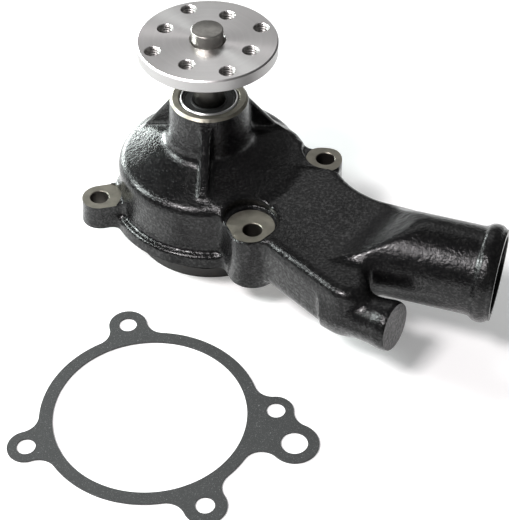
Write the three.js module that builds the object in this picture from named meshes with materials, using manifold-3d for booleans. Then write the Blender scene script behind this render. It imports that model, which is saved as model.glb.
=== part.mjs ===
// Belt-driven coolant pump for an in-line car engine, with its loose mounting gasket beside it.
//
// Millimetres, +Z up. The pump is modelled about its own shaft: the shaft axis is X = Y = 0 and the
// machined face that bolts to the engine block is Z = 0. The hose neck runs along +X. Every piece hangs
// in one group, and the last lines move that group so that the whole set stands on Z = 0 with the middle
// of its footprint at the origin.

import * as THREE from "three";
import { mergeVertices } from "three/addons/utils/BufferGeometryUtils.js";
import Module from "manifold-3d";

const wasm = await Module();
wasm.setup();

// ---------------------------------------------------------------------------------------------------
// Driving dimensions
// ---------------------------------------------------------------------------------------------------

const DEG = Math.PI / 180;
const GAP = 0.3; // clearance kept between pieces that touch

// Flats round a full circle: large outside faces, middling ones, and holes and small rings
const FINE = 44;
const MEDIUM = 26;
const COARSE = 14;

// Shaft and bearing: an integral shaft bearing with a 5/8 inch shaft and a 30 mm outer ring
const SHAFT_R = 7.96;
const SHAFT_END_Z = -17.6;
const SHAFT_TOP_ABOVE_HUB = 8.3;
const RACE_R = 15;
const RACE_BORE_R = 12.4;
const RACE_BOTTOM_Z = 30.4;
const RACE_TOP_Z = 68.2;
const ROW_PITCH_R = 10.2;
const BALL_R = 2.6;
const BALL_COUNT = 8;
const BALL_ROW_Z = 58.5;
const ROLLER_R = 1.9;
const ROLLER_LENGTH = 11;
const ROLLER_COUNT = 8;
const ROLLER_ROW_Z = 42;
const CAGE_INNER_R = 9.3;
const CAGE_OUTER_R = 11.1;
const BALL_CAGE_HALF_WIDTH = 3.7;
const ROLLER_CAGE_HALF_WIDTH = 7;
const BEARING_SEAL_THICKNESS = 1.8;

// Pulley hub pressed on the shaft
const HUB_R = 34.925;
const HUB_THICKNESS = 7;
const HUB_FACE_Z = 102.9;
const HUB_COLLAR_R = 13.5;
const HUB_COLLAR_BOTTOM_Z = 80;
const HUB_HOLE_R = 3.97;
const HUB_OUTER_HOLES = { radius: 28.3, first: 39.6 * DEG };
const HUB_INNER_HOLES = { radius: 23.1, first: 84.6 * DEG };

// Housing
const FLANGE_R = 54;
const FLANGE_THICKNESS = 6;
const WALL_R = 48.5;
const SHOULDER_Z = 27;
const SHOULDER_R = 7;
const DOME_SLOPE = 22 * DEG;
const BOSS_FOOT_R = 23.4;
const BOSS_TOP_R = 20.6;
const BOSS_TOP_Z = 68.5;
const BOSS_CHAMFER = 1.8;
const RIB_THICKNESS = 4.6;
const RIB_TOP_Z = 64;
const RIB_END_R = 40;
const RIB_ANGLES = [-75 * DEG, 46 * DEG, 166 * DEG];

// Bolt holes, on one circle; height is that of the seat for the bolt head
const BOLT_CIRCLE_R = 60.3;
const BOLT_HOLE_R = 4.8;
const EARS = {
  left: { angle: -148 * DEG, lobeR: 9.2, gasketLobeR: 9, height: 13.4 },
  front: { angle: -50 * DEG, lobeR: 11.6, gasketLobeR: 10.2, height: 28.4 },
  right: { angle: 14.4 * DEG, lobeR: 9, gasketLobeR: 8.6, height: 31.7 },
  back: { angle: 116.5 * DEG, lobeR: 9.2, gasketLobeR: 9.6, height: 13.4 },
};
const BYPASS = { angle: -2.1 * DEG, radius: 71, lobeR: 11.4, gasketLobeR: 11.8, holeR: 6.4 };
const BYPASS_DEPTH = 14;
const BYPASS_ROOF_Z = 20;
// Clearances for bolt head and socket, cut into dome and duct; x and y are offsets from the bolt hole
const FRONT_CLEARANCE = { radius: 13.8, x: -1.1, y: 1.8 };
const RIGHT_CLEARANCE = { radius: 16.7, x: 2.8, y: 7.4 };
const CUT_TOP_Z = 50;

// Inlet duct (the wing between body and neck) and hose neck
const WING_BOTTOM_Z = 3;
const WING_TOP_Z = 32.5;
const WING_EDGE = 2.5;
const NECK_Y = -34.7;
const NECK_Z = 24;
const NECK_R = 22.2;
const NECK_BORE_R = 19.2;
const NECK_ROOT_X = 84;
const NECK_END_X = 161;
// The root of the neck is cut off by a ramp that climbs from the duct's top to the neck's
const RAMP_POINT = new THREE.Vector3(107, -45, 41.4);
const RAMP_NORMAL = new THREE.Vector3(-0.484, 0.148, 0.862).normalize();
const NECK_WALL = NECK_R - NECK_BORE_R;
const BEAD_R = 24.5;
const BEAD_WIDTH = 8.5;

// Closed heater nipple beside the neck
const NIPPLE_END = new THREE.Vector3(120.4, -77.2, 16.5);
const NIPPLE_TURN = -18 * DEG;
const NIPPLE_TILT = 6 * DEG;
const NIPPLE_R = 11;
const NIPPLE_BEAD_R = 12.4;
const NIPPLE_LENGTH = 36;

// Inside of the housing
const POCKET_R = 44;
const POCKET_TOP_Z = 4.5;
const EYE_R = 31;
const PASSAGE_R = 43.3;
const PASSAGE_BOTTOM_Z = 8;
const PASSAGE_TOP_Z = 30;
const SEAL_TOWER_R = 21.8;
const SEAL_BORE_R = 18.3;
const SEAL_BORE_TOP_Z = 21.5;
const DRAIN_BOTTOM_Z = 25.5;
const WEEP_HOLE_R = 2;
const WEEP_HOLE_ANGLE = 106 * DEG;
const WEEP_HOLE_SLANT = 45 * DEG;
const WEEP_HOLE_LENGTH = 24;
const WEEP_HOLE_MIDDLE = { radius: 22, height: 36.5 };

// Impeller
const IMPELLER_R = 41.7;
const IMPELLER_REAR_Z = -19;
const IMPELLER_DISC_TOP_Z = -12.5;
const IMPELLER_VANE_TOP_Z = 3.8;
const IMPELLER_HUB_R = 19.5;
const IMPELLER_HUB_TOP_Z = 1;
const IMPELLER_RECESS_R = 16.9;
const IMPELLER_RECESS_Z = -3.7;
const VANE_COUNT = 6;
const VANE_THICKNESS = 3.2;
const VANE_SWEEP = 48 * DEG;

// Gasket
const GASKET_THICKNESS = 0.8;
const GASKET_RING_R = 53;
const GASKET_BORE_R = 46.5;
const GASKET_HOLE_R = 4.5;
const GASKET_X = 17.7;
const GASKET_Y = -137.1;
const GASKET_TURN = 6 * DEG;

// ---------------------------------------------------------------------------------------------------
// Small tools for solids
// ---------------------------------------------------------------------------------------------------

// Turns a closed three.js geometry into a solid that can be joined and cut.
function solid(geometry) {
  geometry.deleteAttribute("normal");
  geometry.deleteAttribute("uv");
  const merged = mergeVertices(geometry, 1e-4);
  const index = merged.index.array;
  const faces = [];
  for (let i = 0; i < index.length; i += 3) {
    const [a, b, c] = [index[i], index[i + 1], index[i + 2]];
    if (a !== b && b !== c && c !== a) faces.push(a, b, c);
  }
  const mesh = new wasm.Mesh({
    numProp: 3,
    vertProperties: new Float32Array(merged.attributes.position.array),
    triVerts: new Uint32Array(faces),
  });
  return new wasm.Manifold(mesh);
}

// Adds up any number of solids.
function join(...solids) {
  return solids.reduce((sum, next) => sum.add(next));
}

// Gives the geometry of a solid, ready for a mesh.
function geometryOf(body) {
  const mesh = body.getMesh();
  const geometry = new THREE.BufferGeometry();
  geometry.setAttribute("position", new THREE.BufferAttribute(new Float32Array(mesh.vertProperties), 3));
  geometry.setIndex(new THREE.BufferAttribute(new Uint32Array(mesh.triVerts), 1));
  const flat = geometry.toNonIndexed();
  flat.computeVertexNormals();
  return flat;
}

// Revolves a profile of [radius, height] pairs about the Z axis; pairs run upwards on the outside.
function turned(profile, segments = MEDIUM) {
  const points = profile.map(([radius, height]) => new THREE.Vector2(radius, height));
  return new THREE.LatheGeometry(points, segments).rotateX(Math.PI / 2);
}

// A ring or tube: the profile of its section closes on itself.
function ring(section, segments = MEDIUM) {
  return turned([...section, section[0]], segments);
}

function cylinder(radius, bottom, top, x = 0, y = 0, segments = COARSE) {
  const geometry = new THREE.CylinderGeometry(radius, radius, top - bottom, segments);
  return solid(geometry.rotateX(Math.PI / 2).translate(x, y, (top + bottom) / 2));
}

// An upright prism over a plan outline, with an optional bevel on its edges.
function prism(shape, bottom, top, bevel = 0, curveSegments = 6) {
  const geometry = new THREE.ExtrudeGeometry(shape, {
    depth: top - bottom - 2 * bevel,
    bevelEnabled: bevel > 0,
    bevelThickness: bevel,
    bevelSize: bevel,
    bevelOffset: -bevel,
    bevelSegments: 1,
    curveSegments,
  });
  return geometry.translate(0, 0, bottom + bevel);
}

// Points along an arc, both ends included.
function arc(cx, cy, radius, from, to, steps) {
  return Array.from({ length: steps + 1 }, (_, i) => {
    const angle = from + ((to - from) * i) / steps;
    return [cx + radius * Math.cos(angle), cy + radius * Math.sin(angle)];
  });
}

function polar(radius, angle) {
  return { x: radius * Math.cos(angle), y: radius * Math.sin(angle) };
}

// ---------------------------------------------------------------------------------------------------
// The outline that flange and gasket share: a ring with lobes, joined by hollow fillets
// ---------------------------------------------------------------------------------------------------

// Centre of the fillet circle that touches circles a and b from outside, on the right of a to b.
function filletCentre(a, b, filletR) {
  const ra = a.r + filletR;
  const rb = b.r + filletR;
  const dx = b.x - a.x;
  const dy = b.y - a.y;
  const gap = Math.hypot(dx, dy);
  const along = (ra * ra - rb * rb + gap * gap) / (2 * gap);
  const across = Math.sqrt(ra * ra - along * along);
  return { x: a.x + (dx * along + dy * across) / gap, y: a.y + (dy * along - dx * across) / gap };
}

// Walks counter-clockwise round a chain of circles, with a fillet between each two.
function lobedOutline(circles, filletR, steps = 4) {
  const following = (i) => circles[(i + 1) % circles.length];
  const centres = circles.map((circle, i) => filletCentre(circle, following(i), filletR));
  const points = [];
  circles.forEach((circle, i) => {
    const before = centres[(i + centres.length - 1) % centres.length];
    const after = centres[i];
    const next = following(i);
    const start = Math.atan2(before.y - circle.y, before.x - circle.x);
    let end = Math.atan2(after.y - circle.y, after.x - circle.x);
    while (end < start) end += 2 * Math.PI;
    const arcSteps = Math.max(2, Math.ceil(((end - start) * Math.sqrt(circle.r)) / 1.2));
    points.push(...arc(circle.x, circle.y, circle.r, start, end, arcSteps));
    const enter = Math.atan2(circle.y - after.y, circle.x - after.x);
    let leave = Math.atan2(next.y - after.y, next.x - after.x);
    while (leave > enter) leave -= 2 * Math.PI;
    points.push(...arc(after.x, after.y, filletR, enter, leave, steps).slice(1, -1));
  });
  return new THREE.Shape(points.map(([x, y]) => new THREE.Vector2(x, y)));
}

// The ring shows between lobes, so it comes into the chain once for each stretch of it.
function mountingOutline(ringR, lobeSize, filletR) {
  const mainRing = { x: 0, y: 0, r: ringR };
  const lobe = (hole, radius) => ({ ...polar(radius, hole.angle), r: hole[lobeSize] });
  const [left, front, right, back] = Object.values(EARS).map((hole) => lobe(hole, BOLT_CIRCLE_R));
  const bypass = lobe(BYPASS, BYPASS.radius);
  return lobedOutline([left, mainRing, front, mainRing, bypass, right, mainRing, back, mainRing], filletR);
}

function roundHole(shape, x, y, radius, segments = COARSE) {
  const points = arc(x, y, radius, 0, -2 * Math.PI, segments).slice(0, -1);
  shape.holes.push(new THREE.Path(points.map(([px, py]) => new THREE.Vector2(px, py))));
}

// ---------------------------------------------------------------------------------------------------
// Housing
// ---------------------------------------------------------------------------------------------------

// Height of the dome's outer surface at a radius between boss and shoulder.
function domeHeight(radius) {
  const edgeR = WALL_R - SHOULDER_R + SHOULDER_R * Math.sin(DOME_SLOPE);
  const edgeZ = SHOULDER_Z + SHOULDER_R * Math.cos(DOME_SLOPE);
  return edgeZ + (edgeR - radius) * Math.tan(DOME_SLOPE);
}

// Round body, dome and bearing boss in one turned shape.
function bodyOutside() {
  const shoulder = arc(WALL_R - SHOULDER_R, SHOULDER_Z, SHOULDER_R, 0, Math.PI / 2 - DOME_SLOPE, 3);
  return solid(
    turned(
      [
        [0, 0],
        [WALL_R + 0.7, 0],
        ...shoulder,
        [BOSS_FOOT_R + 2.4, domeHeight(BOSS_FOOT_R + 2.4)],
        [BOSS_FOOT_R + 0.5, domeHeight(BOSS_FOOT_R) + 0.9],
        [BOSS_FOOT_R, domeHeight(BOSS_FOOT_R) + 3],
        [BOSS_TOP_R, BOSS_TOP_Z - BOSS_CHAMFER],
        [BOSS_TOP_R - BOSS_CHAMFER, BOSS_TOP_Z],
        [0, BOSS_TOP_Z],
      ],
      FINE,
    ),
  );
}

// One gusset between boss and dome.
function rib(angle) {
  const side = new THREE.Shape();
  side.moveTo(BOSS_TOP_R - 3, 30);
  side.lineTo(RIB_END_R, 30);
  side.lineTo(RIB_END_R, domeHeight(RIB_END_R) + 1.2);
  side.lineTo(BOSS_TOP_R + 0.5, RIB_TOP_Z);
  side.lineTo(BOSS_TOP_R - 3, RIB_TOP_Z);
  const geometry = new THREE.ExtrudeGeometry(side, { depth: RIB_THICKNESS, bevelEnabled: false });
  return solid(geometry.translate(0, 0, -RIB_THICKNESS / 2).rotateX(Math.PI / 2).rotateZ(angle));
}

// Plan of the duct between body and neck.
function wingOutline() {
  const shape = new THREE.Shape();
  shape.moveTo(14, -38);
  shape.lineTo(44.5, -54);
  shape.lineTo(88, -77.6);
  shape.quadraticCurveTo(96, -82, 103, -76);
  shape.quadraticCurveTo(108, -70, 101, -57);
  shape.lineTo(106, -40);
  shape.lineTo(115, -20);
  shape.quadraticCurveTo(118, -9, 112, -8.5);
  shape.lineTo(94, -7);
  shape.quadraticCurveTo(78, -4, 69, 7);
  shape.lineTo(62, 23);
  shape.lineTo(48, 21);
  shape.lineTo(38, 28);
  shape.lineTo(10, 30);
  return shape;
}

// Plan of the space inside that duct.
function ductOutline() {
  const shape = new THREE.Shape();
  shape.moveTo(10, -30);
  shape.lineTo(37, -30);
  shape.lineTo(53, -49);
  shape.lineTo(87, -70);
  shape.quadraticCurveTo(94, -66, 94, -54);
  shape.lineTo(96, -22);
  shape.quadraticCurveTo(88, -13, 80, -11);
  shape.lineTo(66, -4);
  shape.lineTo(46, 6);
  shape.lineTo(30, 24);
  return shape;
}

// A shape turned about the neck's axis; its profile is [radius, distance along X].
function onNeckAxis(profile, segments) {
  return turned(profile, segments).rotateY(Math.PI / 2).translate(0, NECK_Y, NECK_Z);
}

// A block that fills the space above the ramp, sunk by the given depth.
function aboveRamp(depth) {
  const size = 100;
  const block = new THREE.BoxGeometry(size, size, size).translate(0, 0, size / 2 - depth);
  block.applyQuaternion(new THREE.Quaternion().setFromUnitVectors(new THREE.Vector3(0, 0, 1), RAMP_NORMAL));
  return solid(block.translate(RAMP_POINT.x, RAMP_POINT.y, RAMP_POINT.z));
}

function neckOutside() {
  const beadX = NECK_END_X - 1.2 - BEAD_WIDTH / 2;
  const rise = BEAD_R - NECK_R;
  const bead = [
    [NECK_R, beadX - BEAD_WIDTH / 2],
    [NECK_R + 0.8 * rise, beadX - BEAD_WIDTH / 4],
    [BEAD_R, beadX],
    [BEAD_R - 0.2 * rise, beadX + BEAD_WIDTH / 4],
    [NECK_R + 0.4, NECK_END_X],
  ];
  const tube = [[0, NECK_ROOT_X], [NECK_R, NECK_ROOT_X], ...bead, [0, NECK_END_X]];
  return solid(onNeckAxis(tube, MEDIUM)).subtract(aboveRamp(0));
}

function neckBore() {
  const [from, to] = [NECK_ROOT_X, NECK_END_X + 1];
  const bore = [[0, from], [NECK_BORE_R, from], [NECK_BORE_R, to], [0, to]];
  return solid(onNeckAxis(bore, MEDIUM)).subtract(aboveRamp(NECK_WALL));
}

// The cast nipple is closed: its end is a flat disc inside a rounded bead.
function nipple() {
  const geometry = turned(
    [
      [0, -NIPPLE_LENGTH],
      [NIPPLE_R + 0.8, -NIPPLE_LENGTH],
      [NIPPLE_R, -8],
      [NIPPLE_BEAD_R - 0.3, -5.5],
      [NIPPLE_BEAD_R, -3],
      [NIPPLE_BEAD_R - 0.9, 0],
      [0, 0],
    ],
    COARSE,
  );
  geometry.rotateY(Math.PI / 2 - NIPPLE_TILT).rotateZ(NIPPLE_TURN);
  return solid(geometry.translate(NIPPLE_END.x, NIPPLE_END.y, NIPPLE_END.z));
}

function ear({ angle, lobeR, height }) {
  const { x, y } = polar(BOLT_CIRCLE_R, angle);
  return cylinder(lobeR - 0.3, 0, height, x, y);
}

// Round space over a bolt seat, a little off the hole.
function headClearance({ angle, height }, { radius, x, y }) {
  const hole = polar(BOLT_CIRCLE_R, angle);
  return cylinder(radius, height, CUT_TOP_Z, hole.x + x, hole.y + y, MEDIUM);
}

// Everything the casting encloses: impeller pocket, inlet passage, seal bore and bearing bore.
function housingInside() {
  const passage = ring(
    [
      [SEAL_TOWER_R, PASSAGE_BOTTOM_Z - 0.2],
      [PASSAGE_R, PASSAGE_BOTTOM_Z - 0.2],
      [PASSAGE_R, PASSAGE_TOP_Z - 5],
      [PASSAGE_R - 5, PASSAGE_TOP_Z],
      [SEAL_TOWER_R, PASSAGE_TOP_Z],
    ],
    FINE,
  );
  return join(
    cylinder(POCKET_R, -1, POCKET_TOP_Z, 0, 0, FINE),
    cylinder(EYE_R, POCKET_TOP_Z - 0.5, PASSAGE_BOTTOM_Z, 0, 0, MEDIUM),
    solid(passage),
    cylinder(SEAL_BORE_R, PASSAGE_BOTTOM_Z - 1, SEAL_BORE_TOP_Z, 0, 0, MEDIUM),
    cylinder(SHAFT_R + 1.5, SEAL_BORE_TOP_Z - 1, DRAIN_BOTTOM_Z + 1),
    cylinder(RACE_R + GAP, DRAIN_BOTTOM_Z, BOSS_TOP_Z + 1, 0, 0, MEDIUM),
    solid(prism(ductOutline(), WING_BOTTOM_Z + 4, WING_TOP_Z - 5)),
    neckBore(),
  );
}

// Slanting drain from the space behind the bearing to the outside of the boss.
function weepHole() {
  const geometry = new THREE.CylinderGeometry(WEEP_HOLE_R, WEEP_HOLE_R, WEEP_HOLE_LENGTH, 10);
  geometry.rotateZ(-WEEP_HOLE_SLANT).rotateX(Math.PI / 2).rotateZ(WEEP_HOLE_ANGLE);
  const { x, y } = polar(WEEP_HOLE_MIDDLE.radius, WEEP_HOLE_ANGLE);
  return solid(geometry.translate(x, y, WEEP_HOLE_MIDDLE.height));
}

function housing() {
  const bypass = polar(BYPASS.radius, BYPASS.angle);
  const shell = join(
    bodyOutside(),
    solid(prism(mountingOutline(FLANGE_R, "lobeR", 6), 0, FLANGE_THICKNESS)),
    solid(prism(wingOutline(), WING_BOTTOM_Z, WING_TOP_Z, WING_EDGE)),
    neckOutside(),
    nipple(),
    cylinder(BYPASS.lobeR - 0.4, 0, BYPASS_ROOF_Z, bypass.x, bypass.y),
    ...Object.values(EARS).map(ear),
    ...RIB_ANGLES.map(rib),
  );
  const cuts = join(
    housingInside(),
    weepHole(),
    cylinder(BYPASS.holeR, -1, BYPASS_DEPTH, bypass.x, bypass.y),
    headClearance(EARS.front, FRONT_CLEARANCE),
    headClearance(EARS.right, RIGHT_CLEARANCE),
    ...Object.values(EARS).map(({ angle }) => {
      const { x, y } = polar(BOLT_CIRCLE_R, angle);
      return cylinder(BOLT_HOLE_R, -1, CUT_TOP_Z, x, y);
    }),
  );
  return shell.subtract(cuts);
}

// ---------------------------------------------------------------------------------------------------
// Hub, shaft and bearing
// ---------------------------------------------------------------------------------------------------

function hubFlange() {
  const bottom = HUB_FACE_Z - HUB_THICKNESS;
  const blank = solid(
    ring(
      [
        [SHAFT_R + GAP, HUB_COLLAR_BOTTOM_Z],
        [HUB_COLLAR_R - 0.8, HUB_COLLAR_BOTTOM_Z],
        [HUB_COLLAR_R, HUB_COLLAR_BOTTOM_Z + 0.8],
        [HUB_COLLAR_R, bottom - 1.5],
        [HUB_COLLAR_R + 1.5, bottom],
        [HUB_R - 0.6, bottom],
        [HUB_R, bottom + 0.6],
        [HUB_R, HUB_FACE_Z - 0.6],
        [HUB_R - 0.6, HUB_FACE_Z],
        [SHAFT_R + GAP + 0.7, HUB_FACE_Z],
        [SHAFT_R + GAP, HUB_FACE_Z - 0.7],
      ],
      FINE,
    ),
  );
  const holes = [HUB_OUTER_HOLES, HUB_INNER_HOLES].flatMap(({ radius, first }) =>
    [0, 1, 2, 3].map((quarter) => {
      const { x, y } = polar(radius, first + (quarter * Math.PI) / 2);
      return cylinder(HUB_HOLE_R, bottom - 1, HUB_FACE_Z + 1, x, y, 10);
    }),
  );
  return blank.subtract(join(...holes));
}

// The shaft is also the bearing's inner ring: the balls run in a groove ground into it.
function pumpShaft() {
  const top = HUB_FACE_Z + SHAFT_TOP_ABOVE_HUB;
  const clearR = BALL_R + GAP;
  const half = Math.acos((ROW_PITCH_R - SHAFT_R) / clearR);
  const groove = arc(ROW_PITCH_R, BALL_ROW_Z, clearR, Math.PI + half, Math.PI - half, 4);
  return solid(
    turned(
      [
        [0, SHAFT_END_Z],
        [SHAFT_R - 0.8, SHAFT_END_Z],
        [SHAFT_R, SHAFT_END_Z + 0.8],
        ...groove,
        [SHAFT_R, top - 1.3],
        [SHAFT_R - 1.3, top],
        [0, top],
      ],
    ),
  );
}

function bearingOuterRace() {
  const clearR = BALL_R + GAP;
  const half = Math.acos((RACE_BORE_R - ROW_PITCH_R) / clearR);
  const groove = arc(ROW_PITCH_R, BALL_ROW_Z, clearR, half, -half, 4);
  return solid(
    ring(
      [
        [RACE_BORE_R, RACE_BOTTOM_Z],
        [RACE_R - 0.5, RACE_BOTTOM_Z],
        [RACE_R, RACE_BOTTOM_Z + 0.5],
        [RACE_R, RACE_TOP_Z - 0.5],
        [RACE_R - 0.5, RACE_TOP_Z],
        [RACE_BORE_R, RACE_TOP_Z],
        ...groove,
      ],
    ),
  );
}

function bearingSeal(bottom) {
  return solid(
    ring(
      [
        [SHAFT_R + GAP, bottom],
        [RACE_BORE_R - GAP, bottom],
        [RACE_BORE_R - GAP, bottom + BEARING_SEAL_THICKNESS],
        [SHAFT_R + GAP, bottom + BEARING_SEAL_THICKNESS],
      ],
    ),
  );
}

// A ring with one pocket for each ball or roller, cut by the given pocket shape.
function cage(middle, halfWidth, count, pocket) {
  const [bottom, top] = [middle - halfWidth, middle + halfWidth];
  const section = [[CAGE_INNER_R, bottom], [CAGE_OUTER_R, bottom], [CAGE_OUTER_R, top], [CAGE_INNER_R, top]];
  const band = solid(ring(section));
  const pockets = Array.from({ length: count }, (_, i) => solid(pocket().rotateZ((2 * Math.PI * i) / count)));
  return band.subtract(join(...pockets));
}

function ballCage() {
  const pocket = () =>
    new THREE.CylinderGeometry(BALL_R + GAP, BALL_R + GAP, 6, 8)
      .rotateZ(Math.PI / 2)
      .translate(ROW_PITCH_R, 0, BALL_ROW_Z);
  return cage(BALL_ROW_Z, BALL_CAGE_HALF_WIDTH, BALL_COUNT, pocket);
}

function rollerCage() {
  const width = 2 * (ROLLER_R + GAP);
  const pocket = () =>
    new THREE.BoxGeometry(6, width, ROLLER_LENGTH + 2 * GAP).translate(ROW_PITCH_R, 0, ROLLER_ROW_Z);
  return cage(ROLLER_ROW_Z, ROLLER_CAGE_HALF_WIDTH, ROLLER_COUNT, pocket);
}

function ball(i) {
  const { x, y } = polar(ROW_PITCH_R, (2 * Math.PI * i) / BALL_COUNT);
  return solid(new THREE.SphereGeometry(BALL_R, 8, 6).translate(x, y, BALL_ROW_Z));
}

function roller(i) {
  const { x, y } = polar(ROW_PITCH_R, (2 * Math.PI * i) / ROLLER_COUNT);
  const half = ROLLER_LENGTH / 2;
  return cylinder(ROLLER_R, ROLLER_ROW_Z - half, ROLLER_ROW_Z + half, x, y, 10);
}

// Disc that throws any leak off the shaft into the drain.
function slinger() {
  return solid(
    ring(
      [
        [SHAFT_R + GAP, 26],
        [13, 26],
        [13, 27],
        [9.8, 27],
        [9.8, 29.4],
        [SHAFT_R + GAP, 29.4],
      ],
    ),
  );
}

// ---------------------------------------------------------------------------------------------------
// Face seal: case, bellows, spring and carbon stand still; ceramic ring and its cup turn
// ---------------------------------------------------------------------------------------------------

function sealCase() {
  return solid(
    ring(
      [
        [17.1, 6.9],
        [20.6, 6.9],
        [20.6, 7.7],
        [17.95, 7.7],
        [17.95, 21.1],
        [10.6, 21.1],
        [10.6, 20.3],
        [17.1, 20.3],
      ],
    ),
  );
}

function sealBellows() {
  return solid(
    ring(
      [
        [10.3, 9.3],
        [13.2, 9.3],
        [13.2, 11],
        [11.8, 13],
        [13, 14.6],
        [11.8, 16.2],
        [13.2, 18],
        [13.2, 19.9],
        [10.3, 19.9],
        [9.6, 14.6],
      ],
    ),
  );
}

// Round wire wound as a helix between the two ends of the bellows.
function sealSpring() {
  const turns = 3;
  const coilR = 15;
  const points = Array.from({ length: turns * 12 + 1 }, (_, i) => {
    const angle = (2 * Math.PI * i) / 12;
    return new THREE.Vector3(coilR * Math.cos(angle), coilR * Math.sin(angle), 10.5 + (8 * i) / (turns * 12));
  });
  const section = arc(0, 0, 0.7, 0, 2 * Math.PI, 5).slice(0, -1);
  const wire = new THREE.Shape(section.map(([x, y]) => new THREE.Vector2(x, y)));
  return solid(
    new THREE.ExtrudeGeometry(wire, {
      steps: turns * 12,
      extrudePath: new THREE.CatmullRomCurve3(points),
      bevelEnabled: false,
    }),
  );
}

function sealCarbonRing() {
  return solid(
    ring(
      [
        [10.9, 3.9],
        [13.2, 3.9],
        [13.2, 5.2],
        [14.2, 5.2],
        [14.2, 9],
        [10.3, 9],
        [10.3, 4.6],
      ],
    ),
  );
}

function sealSeatRing() {
  return solid(ring([[9.7, -1.6], [15, -1.6], [15, 3], [14.4, 3.6], [10.3, 3.6], [9.7, 3]]));
}

function sealSeatCup() {
  return solid(
    ring(
      [
        [8.8, -3.4],
        [16.6, -3.4],
        [16.6, 2.3],
        [15.3, 2.3],
        [15.3, -1.9],
        [8.8, -1.9],
      ],
    ),
  );
}

// ---------------------------------------------------------------------------------------------------
// Impeller
// ---------------------------------------------------------------------------------------------------

// One vane, swept back as it runs out from hub to rim.
function vane(i) {
  const steps = 5;
  const innerR = IMPELLER_HUB_R - 1;
  const outerR = IMPELLER_R - 0.6;
  const side = (offset) =>
    Array.from({ length: steps + 1 }, (_, k) => {
      const t = k / steps;
      const radius = innerR + (outerR - innerR) * t;
      const angle = -VANE_SWEEP * t * t + offset / radius;
      return new THREE.Vector2(radius * Math.cos(angle), radius * Math.sin(angle));
    });
  const shape = new THREE.Shape([...side(-VANE_THICKNESS / 2), ...side(VANE_THICKNESS / 2).reverse()]);
  const geometry = prism(shape, IMPELLER_DISC_TOP_Z - 1, IMPELLER_VANE_TOP_Z);
  return solid(geometry.rotateZ((2 * Math.PI * i) / VANE_COUNT));
}

function impeller() {
  const disc = solid(
    turned(
      [
        [0, IMPELLER_REAR_Z],
        [IMPELLER_R - 0.5, IMPELLER_REAR_Z],
        [IMPELLER_R, IMPELLER_REAR_Z + 0.5],
        [IMPELLER_R, IMPELLER_DISC_TOP_Z - 0.5],
        [IMPELLER_R - 0.5, IMPELLER_DISC_TOP_Z],
        [IMPELLER_HUB_R + 4, IMPELLER_DISC_TOP_Z],
        [IMPELLER_HUB_R, IMPELLER_DISC_TOP_Z + 4],
        [IMPELLER_HUB_R, IMPELLER_HUB_TOP_Z],
        [0, IMPELLER_HUB_TOP_Z],
      ],
      FINE,
    ),
  );
  const vanes = Array.from({ length: VANE_COUNT }, (_, i) => vane(i));
  const cuts = join(
    cylinder(SHAFT_R + GAP, IMPELLER_REAR_Z - 1, 2, 0, 0, MEDIUM),
    cylinder(IMPELLER_RECESS_R, IMPELLER_RECESS_Z, IMPELLER_VANE_TOP_Z + 1, 0, 0, MEDIUM),
  );
  return join(disc, ...vanes).subtract(cuts);
}

// ---------------------------------------------------------------------------------------------------
// Gasket, lying on the ground beside the pump
// ---------------------------------------------------------------------------------------------------

function gasket() {
  const shape = mountingOutline(GASKET_RING_R, "gasketLobeR", 9);
  const bypass = polar(BYPASS.radius, BYPASS.angle);
  roundHole(shape, 0, 0, GASKET_BORE_R, FINE);
  roundHole(shape, bypass.x, bypass.y, BYPASS.holeR);
  for (const { angle } of Object.values(EARS)) {
    const { x, y } = polar(BOLT_CIRCLE_R, angle);
    roundHole(shape, x, y, GASKET_HOLE_R);
  }
  return solid(prism(shape, 0, GASKET_THICKNESS));
}

// ---------------------------------------------------------------------------------------------------
// Finishes
// ---------------------------------------------------------------------------------------------------

const finish = (color, roughness, metalness) => ({ color, roughness, metalness });
const BLACK_ENAMEL = finish(0x151515, 0.35, 0.2);
const TURNED_STEEL = finish(0xc4c2c0, 0.25, 1);
const GROUND_STEEL = finish(0x8d8880, 0.3, 1);
const BEARING_STEEL = finish(0xb9bbbd, 0.2, 1);
const CAST_IRON = finish(0x3a3734, 0.6, 0.8);
const BLACK_RUBBER = finish(0x101010, 0.7, 0);
const CAGE_POLYMER = finish(0xd9d2bd, 0.5, 0);
const BRASS = finish(0xb08d4c, 0.35, 1);
const CARBON = finish(0x26272a, 0.45, 0.1);
const CERAMIC = finish(0xece8dd, 0.3, 0);
const SPRING_STEEL = finish(0xa9abad, 0.3, 1);
const GASKET_PAPER = finish(0x464848, 0.9, 0);

// ---------------------------------------------------------------------------------------------------
// Assembly
// ---------------------------------------------------------------------------------------------------

const pump = new THREE.Group();

function piece(name, body, look) {
  const mesh = new THREE.Mesh(geometryOf(body), new THREE.MeshStandardMaterial(look));
  mesh.name = name;
  pump.add(mesh);
  return mesh;
}

piece("housing", housing(), BLACK_ENAMEL);
piece("hub_flange", hubFlange(), TURNED_STEEL);
piece("pump_shaft", pumpShaft(), GROUND_STEEL);
piece("bearing_outer_race", bearingOuterRace(), BEARING_STEEL);
piece("bearing_seal_front", bearingSeal(RACE_TOP_Z - 3), BLACK_RUBBER);
piece("bearing_seal_rear", bearingSeal(RACE_BOTTOM_Z + 1.2), BLACK_RUBBER);
piece("ball_cage", ballCage(), CAGE_POLYMER);
piece("roller_cage", rollerCage(), CAGE_POLYMER);
for (let i = 0; i < BALL_COUNT; i += 1) piece(`bearing_ball_${i + 1}`, ball(i), BEARING_STEEL);
for (let i = 0; i < ROLLER_COUNT; i += 1) piece(`bearing_roller_${i + 1}`, roller(i), BEARING_STEEL);
piece("slinger", slinger(), SPRING_STEEL);
piece("seal_case", sealCase(), BRASS);
piece("seal_bellows", sealBellows(), BLACK_RUBBER);
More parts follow.
